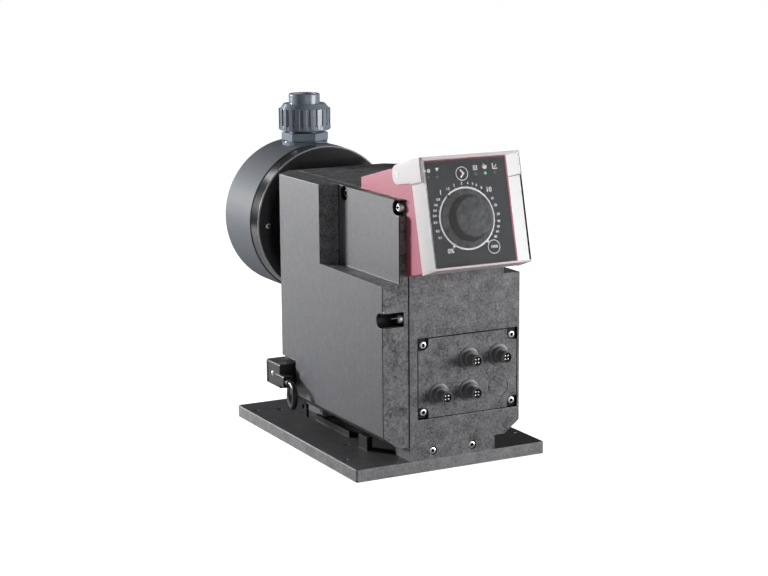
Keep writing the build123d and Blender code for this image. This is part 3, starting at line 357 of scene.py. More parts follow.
def clear_plastic(name, colour, roughness, transmission):
    material, tree, shader = new_material(name, colour, roughness)
    shader.inputs["IOR"].default_value = 1.49
    shader.inputs["Transmission Weight"].default_value = transmission
    link = tree.links.new
    drawn = put(tree, "ShaderNodeGroup", -700, 0, node_tree=streak_group)
    drawn.inputs["Across"].default_value = (90.0, 90.0, 40.0)
    drawn.inputs["Contrast"].default_value = 0.5
    rough = put(tree, "ShaderNodeMath", -300, 0, operation="MULTIPLY")
    rough.inputs[1].default_value = roughness
    link(drawn.outputs["Shade"], rough.inputs[0])
    link(rough.outputs[0], shader.inputs["Roughness"])
    return material


charcoal = moulded("charcoal moulding, front", (0.136, 0.137, 0.143), 0.5, 420.0, 0.00008, 3.4)
charcoal_side = moulded("charcoal moulding, side", (0.114, 0.116, 0.126), 0.46, 620.0, 0.00004, 0.95, 0.3, (420.0, 420.0, 5.0))
crease_painted_highlight = moulded("charcoal moulding, crease with painted highlight", (0.15, 0.151, 0.157), 0.5, 380.0, 0.00008, 2.0)
# The plate's upper side is much darker than its edges: painted shade near the housing
plate_top_painted_shade = moulded("plate plastic, upper side darkened as painted shade", (0.05, 0.051, 0.053), 0.55, 560.0, 0.00006, 1.1, 0.14, (30.0, 200.0, 200.0), 0.35)
plate_edge = moulded("plate plastic, edges", (0.21, 0.212, 0.218), 0.5, 420.0, 0.00006, 1.8, 0.14, (30.0, 200.0, 200.0))
connector_grey = moulded("signal connector plastic", (0.15, 0.152, 0.157), 0.36, 900.0, 0.00003, 0.5)
connector_black = moulded("connector plastic", (0.036, 0.037, 0.039), 0.3, 1200.0, 0.00002, 0.3)
# Near black: the real black parts, and painted shade in pockets, notches, gaps, sockets and under the housing
black_and_painted_shade = moulded("black plastic, also painted shade", (0.01, 0.01, 0.011), 0.5, 1200.0, 0.00002, 0.2, specular=0.2)
signal_red = moulded("case red", (0.52, 0.11, 0.175), 0.36, 1100.0, 0.00002, 0.2, specular=0.6)
panel_film = moulded("panel film", (0.028, 0.029, 0.033), 0.38, 1600.0, 0.00001, 0.2, specular=0.1)
print_white = moulded("white print", (0.95, 0.96, 0.98), 0.45, 1600.0, 0.000005, 0.08)
knob_grey = moulded("knob plastic", (0.068, 0.07, 0.074), 0.42, 260.0, 0.00008, 3.6, specular=0.15)
knob_flank_painted_shade = moulded("knob plastic, flank in painted shade", (0.007, 0.007, 0.008), 0.4, 800.0, 0.00003, 0.4, specular=0.1)
lens_off = moulded("lens, unlit", (0.13, 0.14, 0.14), 0.2, 1500.0, 0.000004, 0.1)
lens_green = plain_glow("lens, green lit", (0.02, 0.42, 0.16), 0.3, (0.02, 0.26, 0.11))
lens_core = plain_glow("lens, its lit core", (0.5, 0.95, 0.6), 0.7, (0.2, 0.5, 0.3))
flange_black = moulded("flange plastic", (0.012, 0.012, 0.013), 0.17, 1300.0, 0.000006, 0.12, 0.25, (3.0, 1400.0, 3.0))
flange_edge_painted_highlight = moulded("flange plastic, edges with painted highlight", (0.4, 0.402, 0.41), 0.35, 1300.0, 0.000006, 0.12)
head_grey = moulded("turned grey PVC", (0.09, 0.1, 0.114), 0.6, 1300.0, 0.000008, 0.14, 0.2, (4.0, 900.0, 4.0), 0.35)
valve_grey = moulded("moulded grey PVC", (0.225, 0.265, 0.315), 0.2, 900.0, 0.000012, 0.22, specular=0.65)
valve_shade = moulded("grey PVC, painted shade in the gap", (0.02, 0.024, 0.03), 0.4, 900.0, 0.000012, 0.2)
valve_bore_painted_light = moulded("grey PVC, bore with painted light", (0.5, 0.55, 0.62), 0.5, 900.0, 0.000012, 0.2)
zinc = metal("zinc plated steel", (0.93, 0.93, 0.94), 0.42)
pin_metal = metal("plated pins", (0.95, 0.95, 0.94), 0.55)
bare_steel = metal("ground steel", (0.6, 0.6, 0.61), 0.3)
cast_metal = metal("cast aluminium", (0.72, 0.72, 0.73), 0.5, 500.0, 0.00006)
soft_black = moulded("sheath rubber", (0.03, 0.03, 0.031), 0.34, 1400.0, 0.00001, 0.2)
gasket_black = moulded("gasket rubber", (0.012, 0.012, 0.012), 0.75, 900.0, 0.00003, 0.2)
motor_black = moulded("motor paint", (0.02, 0.02, 0.021), 0.35, 1200.0, 0.00001, 0.15)
gear_white = moulded("gear plastic", (0.8, 0.8, 0.77), 0.4, 900.0, 0.00001, 0.1)
board_green = moulded("solder mask", (0.02, 0.14, 0.05), 0.3, 500.0, 0.00001, 0.3)
ball_white = moulded("ball ceramic", (0.86, 0.86, 0.84), 0.12, 1500.0, 0.000002, 0.05)
clear_front = clear_plastic("clear cover", (0.985, 0.99, 0.99), 0.03, 1.0)
cover_wall_painted_lit = clear_plastic("cover wall, milky as painted light", (0.95, 0.955, 0.96), 0.4, 0.5)
cover_edge_painted_reflection = clear_plastic("cover edge, painted pink reflection", (0.98, 0.86, 0.89), 0.3, 0.35)


# Camera, lights and floor

def make_camera():
    azimuth, elevation, roll = (math.radians(angle) for angle in (-27.71, 11.15, -0.41))
    right = Vector((math.cos(azimuth), math.sin(azimuth), 0))
    back = Vector((math.sin(azimuth) * math.cos(elevation), -math.cos(azimuth) * math.cos(elevation), math.sin(elevation)))
    up = back.cross(right)
    turned_right = right * math.cos(roll) + up * math.sin(roll)
    turned_up = up * math.cos(roll) - right * math.sin(roll)
    place = (turned_right * -68.17 + turned_up * 178.51 + back * 1881.41) * mm + Vector((0, front_y, 0))
    bpy.ops.object.camera_add(location=place)
    camera = bpy.context.object
    camera.name = "photo_camera"
    camera.matrix_world = Matrix.Translation(place) @ Matrix((turned_right, turned_up, back)).transposed().to_4x4()
    camera.data.sensor_width = 36.0
    camera.data.lens = 36.0 * 1895.04 / 768
    bpy.context.scene.camera = camera
    bpy.context.scene.view_settings.view_transform = "Standard"


def soft_light(name, place, target, width, height, watts):
    bpy.ops.object.light_add(type="AREA", location=place)
    lamp = bpy.context.object
    lamp.name = name
    lamp.data.shape = "RECTANGLE"
    lamp.data.size = width
    lamp.data.size_y = height
    lamp.data.energy = watts
    lamp.rotation_euler = (Vector(target) - Vector(place)).to_track_quat("-Z", "Y").to_euler()
    return lamp


def make_studio():
    world = bpy.data.worlds.new("studio")
    bpy.context.scene.world = world
    world.use_nodes = True
    tree = world.node_tree
    link = tree.links.new
    sky = tree.nodes["Background"]
    sky.inputs["Strength"].default_value = 1.0
    place = put(tree, "ShaderNodeTexCoord", -900, 0)
    apart = put(tree, "ShaderNodeSeparateXYZ", -700, 0)
    ramp = put(tree, "ShaderNodeValToRGB", -500, 0)
    ramp.color_ramp.elements[0].position = 0.0
    ramp.color_ramp.elements[0].color = (0.2, 0.2, 0.205, 1)
    ramp.color_ramp.elements[1].position = 0.55
    ramp.color_ramp.elements[1].color = (0.05, 0.05, 0.052, 1)
    path = put(tree, "ShaderNodeLightPath", -700, 300)
    through = put(tree, "ShaderNodeMath", -450, 300, operation="MAXIMUM")
    link(path.outputs["Is Camera Ray"], through.inputs[0])
    link(path.outputs["Is Transmission Ray"], through.inputs[1])
    seen = put(tree, "ShaderNodeMix", -200, 0, data_type="RGBA")
    seen.inputs["B"].default_value = (1, 1, 1, 1)
    link(place.outputs["Generated"], apart.inputs[0])
    link(apart.outputs["Z"], ramp.inputs["Fac"])
    link(through.outputs[0], seen.inputs["Factor"])
    link(ramp.outputs["Color"], seen.inputs["A"])
    link(seen.outputs["Result"], sky.inputs["Color"])

    bpy.ops.mesh.primitive_plane_add(size=7.0, location=(0, 0.6, -0.0004))
    floor = named("floor")
    material, tree, shader = new_material("pale floor", (0.42, 0.42, 0.42), 0.8)
    path = put(tree, "ShaderNodeLightPath", -900, 0)
    first = put(tree, "ShaderNodeMath", -700, -100, operation="LESS_THAN")
    first.inputs[1].default_value = 0.5
    unscattered = put(tree, "ShaderNodeMath", -500, -50, operation="MULTIPLY")
    through = put(tree, "ShaderNodeMath", -300, 0, operation="MAXIMUM")
    shader.inputs["Emission Color"].default_value = (1, 1, 1, 1)
    tree.links.new(path.outputs["Diffuse Depth"], first.inputs[0])
    tree.links.new(path.outputs["Is Transmission Ray"], unscattered.inputs[0])
    tree.links.new(first.outputs[0], unscattered.inputs[1])
    tree.links.new(path.outputs["Is Camera Ray"], through.inputs[0])
    tree.links.new(unscattered.outputs[0], through.inputs[1])
    tree.links.new(through.outputs[0], shader.inputs["Emission Strength"])
    paint(floor, material)

    middle = (0, 0, 0.15)
    soft_light("left softbox", (-0.9, 1.1, 0.45), middle, 0.24, 0.24, 25)
    soft_light("right softbox", (1.8, -1.5, 0.42), middle, 1.5, 1.1, 56)
    soft_light("front softbox", (-0.2, -1.95, 0.55), middle, 0.8, 0.8, 2.5)
    soft_light("rear strip", (-0.7, 1.4, 1.0), middle, 0.9, 0.4, 4)


make_camera()
make_studio()


# The mains lead: one smooth line from the connector, below the housing, to the coil and the plug

def lead_points():
    hand = [(-88.9, 188, 56), (-88.9, 181, 56), (-90.5, 173.7, 48.7), (-90.8, 173.7, 38.3), (-89.3, 181, 31),
            (-84.9, 196, 31.2), (-78.8, 213, 34.5), (-69.9, 231, 36), (-61.4, 250, 34.5), (-51.9, 268, 28.8),
            (-43.4, 283, 20.4), (-34.9, 293, 13.5), (-22.9, 301.8, 8), (-7.9, 307, 4.6), (15.1, 308, 4.1), (37.5, 307.9, 4.0)]
    points = [Vector((x, front_y / mm + depth, z)) for x, depth, z in hand]
    centre_x, centre_y = 60.0, front_y / mm + 348
    steps = 16
    turns = 5.25
    outer, inner = 40.2, 33.8
    plan = [(outer, 4.0), (inner, 4.0), (inner, 10.4), (outer, 10.4), (outer, 16.8), (outer, 16.8)]
    for step in range(int(turns * steps) + 1):
        turn, share = divmod(step / steps, 1)
        here = plan[int(turn)]
        after = plan[min(int(turn) + 1, len(plan) - 1)]
        ease = max(0.0, (share - 0.7) / 0.3)
        ease = ease * ease * (3 - 2 * ease)
        radius = (here[0] + (after[0] - here[0]) * ease) / math.cos(math.pi / steps) ** 0.5
        z = here[1] + (after[1] - here[1]) * ease
        angle = math.radians(-90) + 2 * math.pi * step / steps
        points.append(Vector((centre_x + radius * math.cos(angle), centre_y + radius * math.sin(angle), z)))
    last = points[-1]
    points += [Vector((100.2, last.y + 9, 16.8)), Vector((100.2, last.y + 18, 16.8)), Vector((100.2, last.y + 27.5, 16.8))]
    return [point * mm for point in points]


def make_lead():
    points = lead_points()
    curve = bpy.data.curves.new("mains_lead_run", "CURVE")
    curve.dimensions = "3D"
    curve.bevel_depth = 3.2 * mm
    curve.bevel_resolution = 5
    curve.resolution_u = 8
    spline = curve.splines.new("NURBS")
    spline.points.add(len(points) - 1)
    for spot, point in zip(spline.points, points):
        spot.co = (*point, 1.0)
    spline.order_u = 3
    spline.use_endpoint_u = True
    lead = bpy.data.objects.new("mains_lead_run", curve)
    bpy.context.scene.collection.objects.link(lead)
    paint(lead, soft_black)
    stands_for(lead, "mains_lead", "mains_lead_coil", "mains_lead_tail")
    return lead


lead = make_lead()


# Moulded and machined pieces: the CAD nodes with their edges rounded

def dress(node, width, *materials, segments=2):
    piece = refined(node, width, segments)
    paint(piece, *materials)
    return stands_for(piece, node)


def dress_plainly():
    """Nodes whose shape is right as it is: they only get their finish."""
    finishes = {
        bare_steel: ["knob_shaft", "cover_hinge_pins", "eccentric_shaft", "motor_pinion", "push_rod", "shaft_bearings",
                     "diaphragm_core"],
        gasket_black: ["connection_gasket", "discharge_valve_seal", "suction_valve_seal", "diaphragm"],
        board_green: ["control_board"],
        black_and_painted_shade: ["knob_encoder"],
        cast_metal: ["drive_frame"],
        motor_black: ["stepper_motor"],
        gear_white: ["drive_gear"],
        ball_white: ["discharge_valve_ball", "suction_valve_ball"],
        zinc: ["head_bolts"],
    }
    for material, names in finishes.items():
        for node in names:
            paint(nodes[node], material)


def paint_where(piece, index, belongs):
    """Gives one of the piece's materials to the faces whose middle and normal pass the test."""
    for face in piece.data.polygons:
        if belongs(face.center, face.normal):
            face.material_index = index


def painted_shade_in_pocket(middle, normal):
    """Inside one of the three round pockets for the side cover's screws, whose faces get painted shade."""
    for depth, height, mouth, floor in pockets:
        beside = math.hypot(middle.y - front_y - depth, middle.z - height)
        if mouth + 0.7 * mm < middle.x < floor + 0.5 * mm and beside < 7.6 * mm:
            return True
    return False


def painted_shade_in_corner_notch(middle, normal):
    """On the lowered corners of the connection plate, where its screws sit; these faces get painted shade."""
    across = abs(middle.x - 17.5 * mm) > 45.5 * mm
    along = abs(middle.z - 94.5 * mm) > 29.5 * mm
    return across and along and middle.y > front_y + 0.3 * mm


def on_bracket_front(middle, normal):
    """The bracket's front face, which closes the housing's front foot."""
    return middle.z > plate_top + 0.7 * mm and middle.y < front_y + 4 * mm and abs(middle.x) < 42 * mm


def painted_shade_round_connection_plate(middle, normal):
    """The walls of the pocket that takes the connection plate, painted near black as shade in the gap."""
    across = abs(middle.x - 17.5 * mm) < 58 * mm
    along = abs(middle.z - 94.5 * mm) < 43 * mm
    return across and along and normal.y > -0.8 and middle.y < front_y + 5 * mm


def on_flange_highlight_edge(middle, normal):
    """The narrow rounded edges of the drive flange that face forward, which get a painted highlight."""
    return -0.92 < normal.y < -0.2


def in_neck_gap(middle, normal):
    """The valve body's neck between its hexagon and the union nut, which gets painted shade."""
    radius = math.hypot(middle.x, middle.y - valve_y)
    return 17.5 * mm < radius < 21.5 * mm and 91 * mm < abs(middle.z - head_z) < 97 * mm


def in_bore(middle, normal):
    """The wall of the pipe tail's socket, painted lighter as the light falling into it."""
    return normal.x * middle.x + normal.y * (middle.y - valve_y) < -0.001


def make_shell():
    # The upper side takes the darkened plastic, which is painted shade; the edges take the lighter one
    base = dress("base_plate", 0.5 * mm, plate_top_painted_shade, plate_edge, black_and_painted_shade, charcoal)
    paint_where(base, 1, lambda middle, normal: middle.z < plate_top and abs(normal.z) < 0.9)
    # Painted shade: the posts and rails on the plate under the housing are near black
    paint_where(base, 2, lambda middle, normal: middle.z > plate_top + 0.7 * mm and middle.y < front_y + 230 * mm)
    paint_where(base, 3, on_bracket_front)
    housing = dress("drive_housing", 0.4 * mm, charcoal, charcoal_side, black_and_painted_shade)
    paint_where(housing, 1, lambda middle, normal: abs(normal.x) > 0.7)
    # Painted shade: the walls of the gap around the connection plate are near black
    paint_where(housing, 2, painted_shade_round_connection_plate)
    cover = dress("side_cover", 0.6 * mm, charcoal, charcoal_side, black_and_painted_shade)
    paint_where(cover, 1, lambda middle, normal: abs(normal.x) > 0.7)
    # Painted shade: the insides of the screw pockets are near black
    paint_where(cover, 2, painted_shade_in_pocket)
    # Painted dark reflection: a near black line on the cover's rounded front-left edge
    paint_where(cover, 2, lambda middle, normal: normal.x < -0.3 and normal.y < -0.3 and middle.y < front_y + 3 * mm)
    # Painted shadow: the strip of front face beside the control unit, which the unit shades, is near black
    paint_where(cover, 2, lambda middle, normal: normal.y < -0.5 and middle.x > -60 * mm and middle.z > 185 * mm)
    plate = dress("connection_plate", 0.25 * mm, charcoal, black_and_painted_shade)
    # Painted shade: the lowered corners round the screws are near black
    paint_where(plate, 1, painted_shade_in_corner_notch)
    # Painted shade: the plate's side walls in the gap are near black
    paint_where(plate, 1, lambda middle, normal: normal.y > -0.8)
    dress("control_case", 0.5 * mm, signal_red)
    dress("control_panel", 0.15 * mm, panel_film)
    flange = dress("drive_flange", 0.5 * mm, flange_black, flange_edge_painted_highlight)
    # Painted highlight: light grey on the black flange's forward-facing rounded edges
    paint_where(flange, 1, on_flange_highlight_edge)
    dress("dosing_head", 0.4 * mm, head_grey, segments=3)
    dress("mains_inlet", 0.4 * mm, connector_black)
    dress("mains_connector", 0.5 * mm, connector_black)
    dress("lead_strain_relief", 0.3 * mm, soft_black)
    dress("lead_ties", 0.2 * mm, connector_black)
    dress("wall_plug", 0.6 * mm, soft_black)
    for name in ("discharge", "suction"):
        body = dress(f"{name}_valve_body", 0.3 * mm, valve_grey, valve_shade)
        # Painted shade: the neck between hexagon and union nut is near black
        paint_where(body, 1, in_neck_gap)
        dress(f"{name}_union_nut", 0.4 * mm, valve_grey, segments=3)
        tail = dress(f"{name}_pipe_tail", 0.4 * mm, valve_grey, valve_bore_painted_light)
        # Painted light: the socket wall is a lighter grey than the rest of the tail
        paint_where(tail, 1, in_bore)


def make_crease():
    """The faint mould crease across the front, a tenth of a millimetre high, in a lighter grey that is painted
    highlight.
    """
    line = [(-68.0, 158.3), (-26.1, 158.6), (-1.9, 159.2), (15.3, 161.3), (34.2, 164.2), (53.3, 165.0), (74.0, 164.5)]
    clear_selection()
    bpy.ops.mesh.primitive_plane_add(size=1.0)
    crease = named("mould_crease")
    mesh = crease.data
    mesh.clear_geometry()
    edge = [(x * mm, front_y, (z + rise) * mm) for rise in (-0.35, 0.35) for x, z in line]
    count = len(line)
    mesh.from_pydata(edge, [], [(step, step + 1, count + step + 1, count + step) for step in range(count - 1)])
    pick(crease)
    bpy.ops.object.mode_set(mode="EDIT")
    bpy.ops.mesh.select_all(action="SELECT")
    bpy.ops.mesh.extrude_region_move(TRANSFORM_OT_translate={"value": (0, -0.12 * mm, 0)})
    bpy.ops.mesh.select_all(action="SELECT")
    bpy.ops.mesh.normals_make_consistent(inside=False)
    bpy.ops.object.mode_set(mode="OBJECT")
    # Painted highlight: the crease is a lighter grey than the front around it
    paint(crease, crease_painted_highlight)
    goes_with(crease, "drive_housing")


def make_cover():
    cover = refined("clear_cover", 0.3 * mm)
    rises = [(vertex.co - dial_centre).dot(panel_up) for vertex in nodes["control_panel"].data.vertices]
    film_low, film_high = min(rises) + 0.6 * mm, max(rises) - 0.2 * mm
    pick(cover)
    bpy.ops.object.mode_set(mode="EDIT")
    for level in (film_low, film_high):
        bpy.ops.mesh.select_all(action="SELECT")
        bpy.ops.mesh.bisect(plane_co=dial_centre + panel_up * level, plane_no=panel_up)
    bpy.ops.object.mode_set(mode="OBJECT")
    smooth(cover, 40)
    paint(cover, clear_front, cover_wall_painted_lit, cover_edge_painted_reflection)
    for face in cover.data.polygons:
        rise = (face.center - dial_centre).dot(panel_up)
        outer_left = face.center.x < -50.8 * mm and face.normal.x < -0.5
        border = face.normal.dot(panel_out) > 0.9 and not film_low < rise < film_high and abs(face.center.x) < 50 * mm
        # Painted reflection: the rims, rounded edges and bands above and below the film are tinted pink and white
        if border or abs(face.normal.dot(panel_up)) > 0.6 or 0.2 < abs(face.normal.x) < 0.9:
            face.material_index = 2
        # Painted light: the left wall and the top are milky white, the right wall stays clear
        elif outer_left or rise > 57.6 * mm:
            face.material_index = 1
    stands_for(cover, "clear_cover")


# Screws with star sockets

def make_star_screw(name, node, radius, height, places, outward, stem=None):
    """Button heads with a six-pointed socket, one for each place; a place is the centre of the head's seat."""
    clear_selection()
    bpy.ops.mesh.primitive_circle_add(vertices=48, radius=radius, fill_type="NGON")
    head = named(name)
    bpy.ops.object.mode_set(mode="EDIT")
    bpy.ops.mesh.select_all(action="SELECT")
    bpy.ops.mesh.extrude_region_move(TRANSFORM_OT_translate={"value": (0, 0, height * 0.55)})
    bpy.ops.mesh.extrude_region_move(TRANSFORM_OT_translate={"value": (0, 0, height * 0.27)})
    bpy.ops.transform.resize(value=(0.88, 0.88, 1))
    bpy.ops.mesh.extrude_region_move(TRANSFORM_OT_translate={"value": (0, 0, height * 0.18)})
    bpy.ops.transform.resize(value=(0.72, 0.72, 1))
    bpy.ops.mesh.inset(thickness=radius * 0.12)
    bpy.ops.object.mode_set(mode="OBJECT")
    top = max(head.data.polygons, key=lambda face: face.center.z)
    socket = list(top.vertices)
    for index in socket:
        spot = head.data.vertices[index].co
        angle = math.atan2(spot.y, spot.x)
        reach = radius * (0.43 + 0.075 * math.cos(6 * angle))
        spot.x = reach * math.cos(angle)
        spot.y = reach * math.sin(angle)
    bpy.ops.object.mode_set(mode="EDIT")
    bpy.ops.mesh.extrude_region_move(TRANSFORM_OT_translate={"value": (0, 0, -height * 0.6)})
    bpy.ops.transform.resize(value=(0.93, 0.93, 1))
    bpy.ops.object.mode_set(mode="OBJECT")
    paint(head, zinc, black_and_painted_shade)
    # Painted shade: the socket's walls and floor are near black
    paint_where(head, 1, lambda middle, normal: middle.xy.length < 0.52 * radius and middle.z > 0.05 * height)
    turn = Vector(outward).to_track_quat("Z", "Y").to_matrix().to_4x4()
    copies = []
    for number, place in enumerate(places):
        copy = head.copy()
        copy.data = head.data.copy()
        bpy.context.scene.collection.objects.link(copy)
        spin = Matrix.Rotation(0.4 + 1.1 * number, 4, "Z")
        copy.matrix_world = Matrix.Translation(place) @ turn @ spin
        copies.append(copy)
    bpy.data.objects.remove(head)
    clear_selection()
    for copy in copies:
        copy.select_set(True)
    bpy.context.view_layer.objects.active = copies[0]
    bpy.ops.object.join()
    screws = named(name)
    settle(screws)
    tidy_mesh(screws)
    smooth(screws, 30)
    return stands_for(screws, node)


def make_screws():
    side = [Vector((floor, front_y + depth, height)) for depth, height, mouth, floor in pockets]
    make_star_screw("cover_star_screws", "side_cover_screws", 4.6 * mm, 4.6 * mm, side, (-1, 0, 0))
    foot = [Vector((x, front_y + 0.0026, 0.0207)) for x in (-0.0223, 0.0223)]
    make_star_screw("foot_star_screws", "foot_screws", 3.7 * mm, 2.4 * mm, foot, (0, -1, 0))
    plate = [Vector((0.0175 + sx * 0.0502, front_y + 0.0022, 0.0945 + sz * 0.0337)) for sx in (-1, 1) for sz in (-1, 1)]
    make_star_screw("plate_star_screws", "connection_plate_screws", 3.7 * mm, 1.9 * mm, plate, (0, -1, 0))
    rim = [Vector((side * 70.8 * mm, front_y + 0.2778, head_z)) for side in (-1, 1)]
    make_star_screw("flange_star_screws", "flange_screws", 3.0 * mm, 2.0 * mm, rim, (0, -1, 0))
    low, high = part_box("connector_screw")
    middle = Vector((low.x + 0.0019, (low.y + high.y) / 2, (low.z + high.z) / 2))
    make_star_screw("connector_star_screw", "connector_screw", 2.8 * mm, 1.9 * mm, [middle], (-1, 0, 0))


# Round signal connectors: threaded barrel, collar and flange, turned from one outline

def turned_piece(name, outline, steps=64):
    """Spins an outline of (radius, height) points about +Z into a closed piece."""
    mesh = bpy.data.meshes.new(name)
    rim = [(radius, 0, height) for radius, height in outline]
    mesh.from_pydata(rim, [(step, step + 1) for step in range(len(rim) - 1)], [])
    piece = bpy.data.objects.new(name, mesh)
    bpy.context.scene.collection.objects.link(piece)
    pick(piece)
    bpy.ops.object.mode_set(mode="EDIT")
    bpy.ops.mesh.select_all(action="SELECT")
    bpy.ops.mesh.spin(steps=steps, angle=2 * math.pi, center=(0, 0, 0), axis=(0, 0, 1), use_auto_merge=True)
    bpy.ops.mesh.select_all(action="SELECT")
    bpy.ops.mesh.remove_doubles(threshold=1e-6)
    bpy.ops.mesh.normals_make_consistent(inside=False)
    bpy.ops.object.mode_set(mode="OBJECT")
    return piece


def make_signal_connectors():
    pitch = 1.0
    outline = [(0, 9.0), (4.7, 9.0), (4.7, 16.9), (5.1, 17.3), (5.3, 17.3)]
    height = 16.6
    while height > 6.6:
        outline += [(5.95, height), (5.95, height - 0.2), (5.5, height - 0.45), (5.5, height - 0.7)]
        height -= pitch
    outline += [(5.7, 6.4), (6.6, 5.9), (7.3, 5.5), (7.75, 4.9), (7.8, 2.0), (8.2, 1.5), (9.4, 1.35), (10.6, 1.2), (11.1, 0.8),
                (11.2, 0.3), (11.2, 0.0), (0, 0.0)]
    outline = [(radius * mm, level * mm) for radius, level in outline]
    turn = Matrix.Rotation(math.radians(90), 4, "X")
    for number in range(1, 5):
        low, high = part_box(f"signal_connector_{number}")
        place = Vector(((low.x + high.x) / 2, front_y, (low.z + high.z) / 2))
        body = turned_piece(f"signal_connector_{number}_turned", outline)
        body.matrix_world = Matrix.Translation(place) @ turn
        settle(body)
        smooth(body, 35)
        paint(body, connector_grey)
        stands_for(body, f"signal_connector_{number}")

        face = turned_piece(f"pin_carrier_{number}", [(0, 9.2 * mm), (0, 15.6 * mm), (4.2 * mm, 15.6 * mm), (4.6 * mm, 15.2 * mm),
                                                      (4.6 * mm, 9.2 * mm), (0, 9.2 * mm)], 48)
        parts = [face]
        for quarter in range(4):
            angle = math.radians(45 + 90 * quarter)
            clear_selection()
            bpy.ops.mesh.primitive_cylinder_add(vertices=16, radius=0.75 * mm, depth=1.4 * mm,
                                                location=(2.4 * mm * math.cos(angle), 2.4 * mm * math.sin(angle), 15.7 * mm))
            pin = named(f"pin_{number}_{quarter}")
            bpy.ops.object.mode_set(mode="EDIT")
            bpy.ops.mesh.select_all(action="SELECT")
            bpy.ops.mesh.bevel(offset=0.25 * mm, segments=2)
            bpy.ops.object.mode_set(mode="OBJECT")
            parts.append(pin)
        clear_selection()
        for part in parts[1:]:
            part.select_set(True)
        bpy.context.view_layer.objects.active = parts[1]
        bpy.ops.object.join()
        pins = named(f"connector_pins_{number}")
        for part, material in ((face, black_and_painted_shade), (pins, pin_metal)):
            part.matrix_world = Matrix.Translation(place) @ turn @ part.matrix_world
            settle(part)
            smooth(part, 35)
            paint(part, material)
        stands_for(face, f"connector_insert_{number}")
        goes_with(pins, f"connector_insert_{number}")


# Control panel: knob, keys, lenses and printed marks

def make_knob():
    outline = [(0, 14.15), (12.8, 14.25), (17.3, 14.2), (18.5, 13.9), (19.1, 13.2), (19.5, 12.2), (20.2, 8.8), (21.3, 6.2),
               (22.6, 4.5), (23.8, 3.6), (24.6, 3.3), (25.2, 3.2), (27.2, 2.7), (28.0, 2.2), (28.2, 1.6), (28.2, 0.3), (0, 0.3)]
    knob = turned_piece("dial_knob", [(radius * mm, level * mm) for radius, level in outline], 128)
    on_panel(knob, 0, 0)
    smooth(knob, 28)
    paint(knob, knob_grey, knob_flank_painted_shade)
    # Painted shade: the knob's concave flank is near black
    paint_where(knob, 1, lambda middle, normal: normal.dot(panel_out) < 0.62
                and 2.6 * mm < (middle - dial_centre).dot(panel_out) < 12.8 * mm)
    stands_for(knob, "adjustment_knob")
    pointer_angle = math.radians(130)
    clear_selection()
    bpy.ops.mesh.primitive_cube_add(size=1.0)
    pointer = named("knob_pointer")
    pointer.scale = (5.4 * mm, 1.7 * mm, 0.9 * mm)
    bpy.ops.object.transform_apply(scale=True)
    bpy.ops.object.mode_set(mode="EDIT")
    bpy.ops.mesh.select_all(action="SELECT")
    bpy.ops.mesh.bevel(offset=0.2 * mm, segments=2)
    bpy.ops.object.mode_set(mode="OBJECT")
    lean = math.atan2(1.2, 4.4)
    pointer.matrix_world = (Matrix.Rotation(pointer_angle, 4, "Z") @ Matrix.Translation((28.0 * mm, 0, 1.95 * mm))
                            @ Matrix.Rotation(lean, 4, "Y"))
    on_panel(pointer, 0, 0)
    paint(pointer, black_and_painted_shade)
    goes_with(pointer, "adjustment_knob")


def flat_ring(name, inner, outer, x, rise, stand, height=0.06 * mm, steps=96, start=0.0, sweep=360.0):
    """A thin printed ring or arc on the panel."""
    closed = sweep >= 360
    mesh = bpy.data.meshes.new(name)
    count = steps if closed else steps + 1
    angles = [math.radians(start + sweep * step / steps) for step in range(count)]
    points = [(radius * math.cos(angle), radius * math.sin(angle), 0) for radius in (inner, outer) for angle in angles]
    faces = []
    for step in range(steps):
        after = (step + 1) % count
        faces.append((step, count + step, count + after, after))
    mesh.from_pydata(points, [], faces)
    ring = bpy.data.objects.new(name, mesh)
    bpy.context.scene.collection.objects.link(ring)
    thicken(ring, height)
    return on_panel(ring, x, rise, stand)


def thicken(piece, height):
    pick(piece)
    bpy.ops.object.mode_set(mode="EDIT")
    bpy.ops.mesh.select_all(action="SELECT")
    bpy.ops.mesh.extrude_region_move(TRANSFORM_OT_translate={"value": (0, 0, height)})
    bpy.ops.mesh.select_all(action="SELECT")
    bpy.ops.mesh.normals_make_consistent(inside=False)
    bpy.ops.object.mode_set(mode="OBJECT")


def printed_word(text, size, x, rise, stand=film_stand, height=0.06 * mm, bold=0.1 * mm):
    clear_selection()
    bpy.ops.object.text_add()
    word = bpy.context.object
    word.data.body = text
    word.data.size = size
    word.data.align_x = "CENTER"
    word.data.align_y = "CENTER"
    word.data.extrude = height / 2
    word.data.offset = bold
    word.data.resolution_u = 4
    bpy.ops.object.convert(target="MESH")
    named("print_" + "".join(letter if letter.isalnum() else "_" for letter in text))
    word = bpy.context.object
    return on_panel(word, x, rise, stand + height / 2)


def printed_shape(name, outline, x, rise, stand=film_stand, height=0.06 * mm):
    """A printed symbol from one closed outline of (x, rise) points in millimetres."""
    mesh = bpy.data.meshes.new(name)
    mesh.from_pydata([(px * mm, py * mm, 0) for px, py in outline], [], [tuple(range(len(outline)))])
    shape = bpy.data.objects.new(name, mesh)
    bpy.context.scene.collection.objects.link(shape)
    thicken(shape, height)
    return on_panel(shape, x * mm, rise * mm, stand)


def joined(pieces, name):
    clear_selection()
    for piece in pieces:
        piece.select_set(True)
    bpy.context.view_layer.objects.active = pieces[0]
    bpy.ops.object.join()
    return named(name)


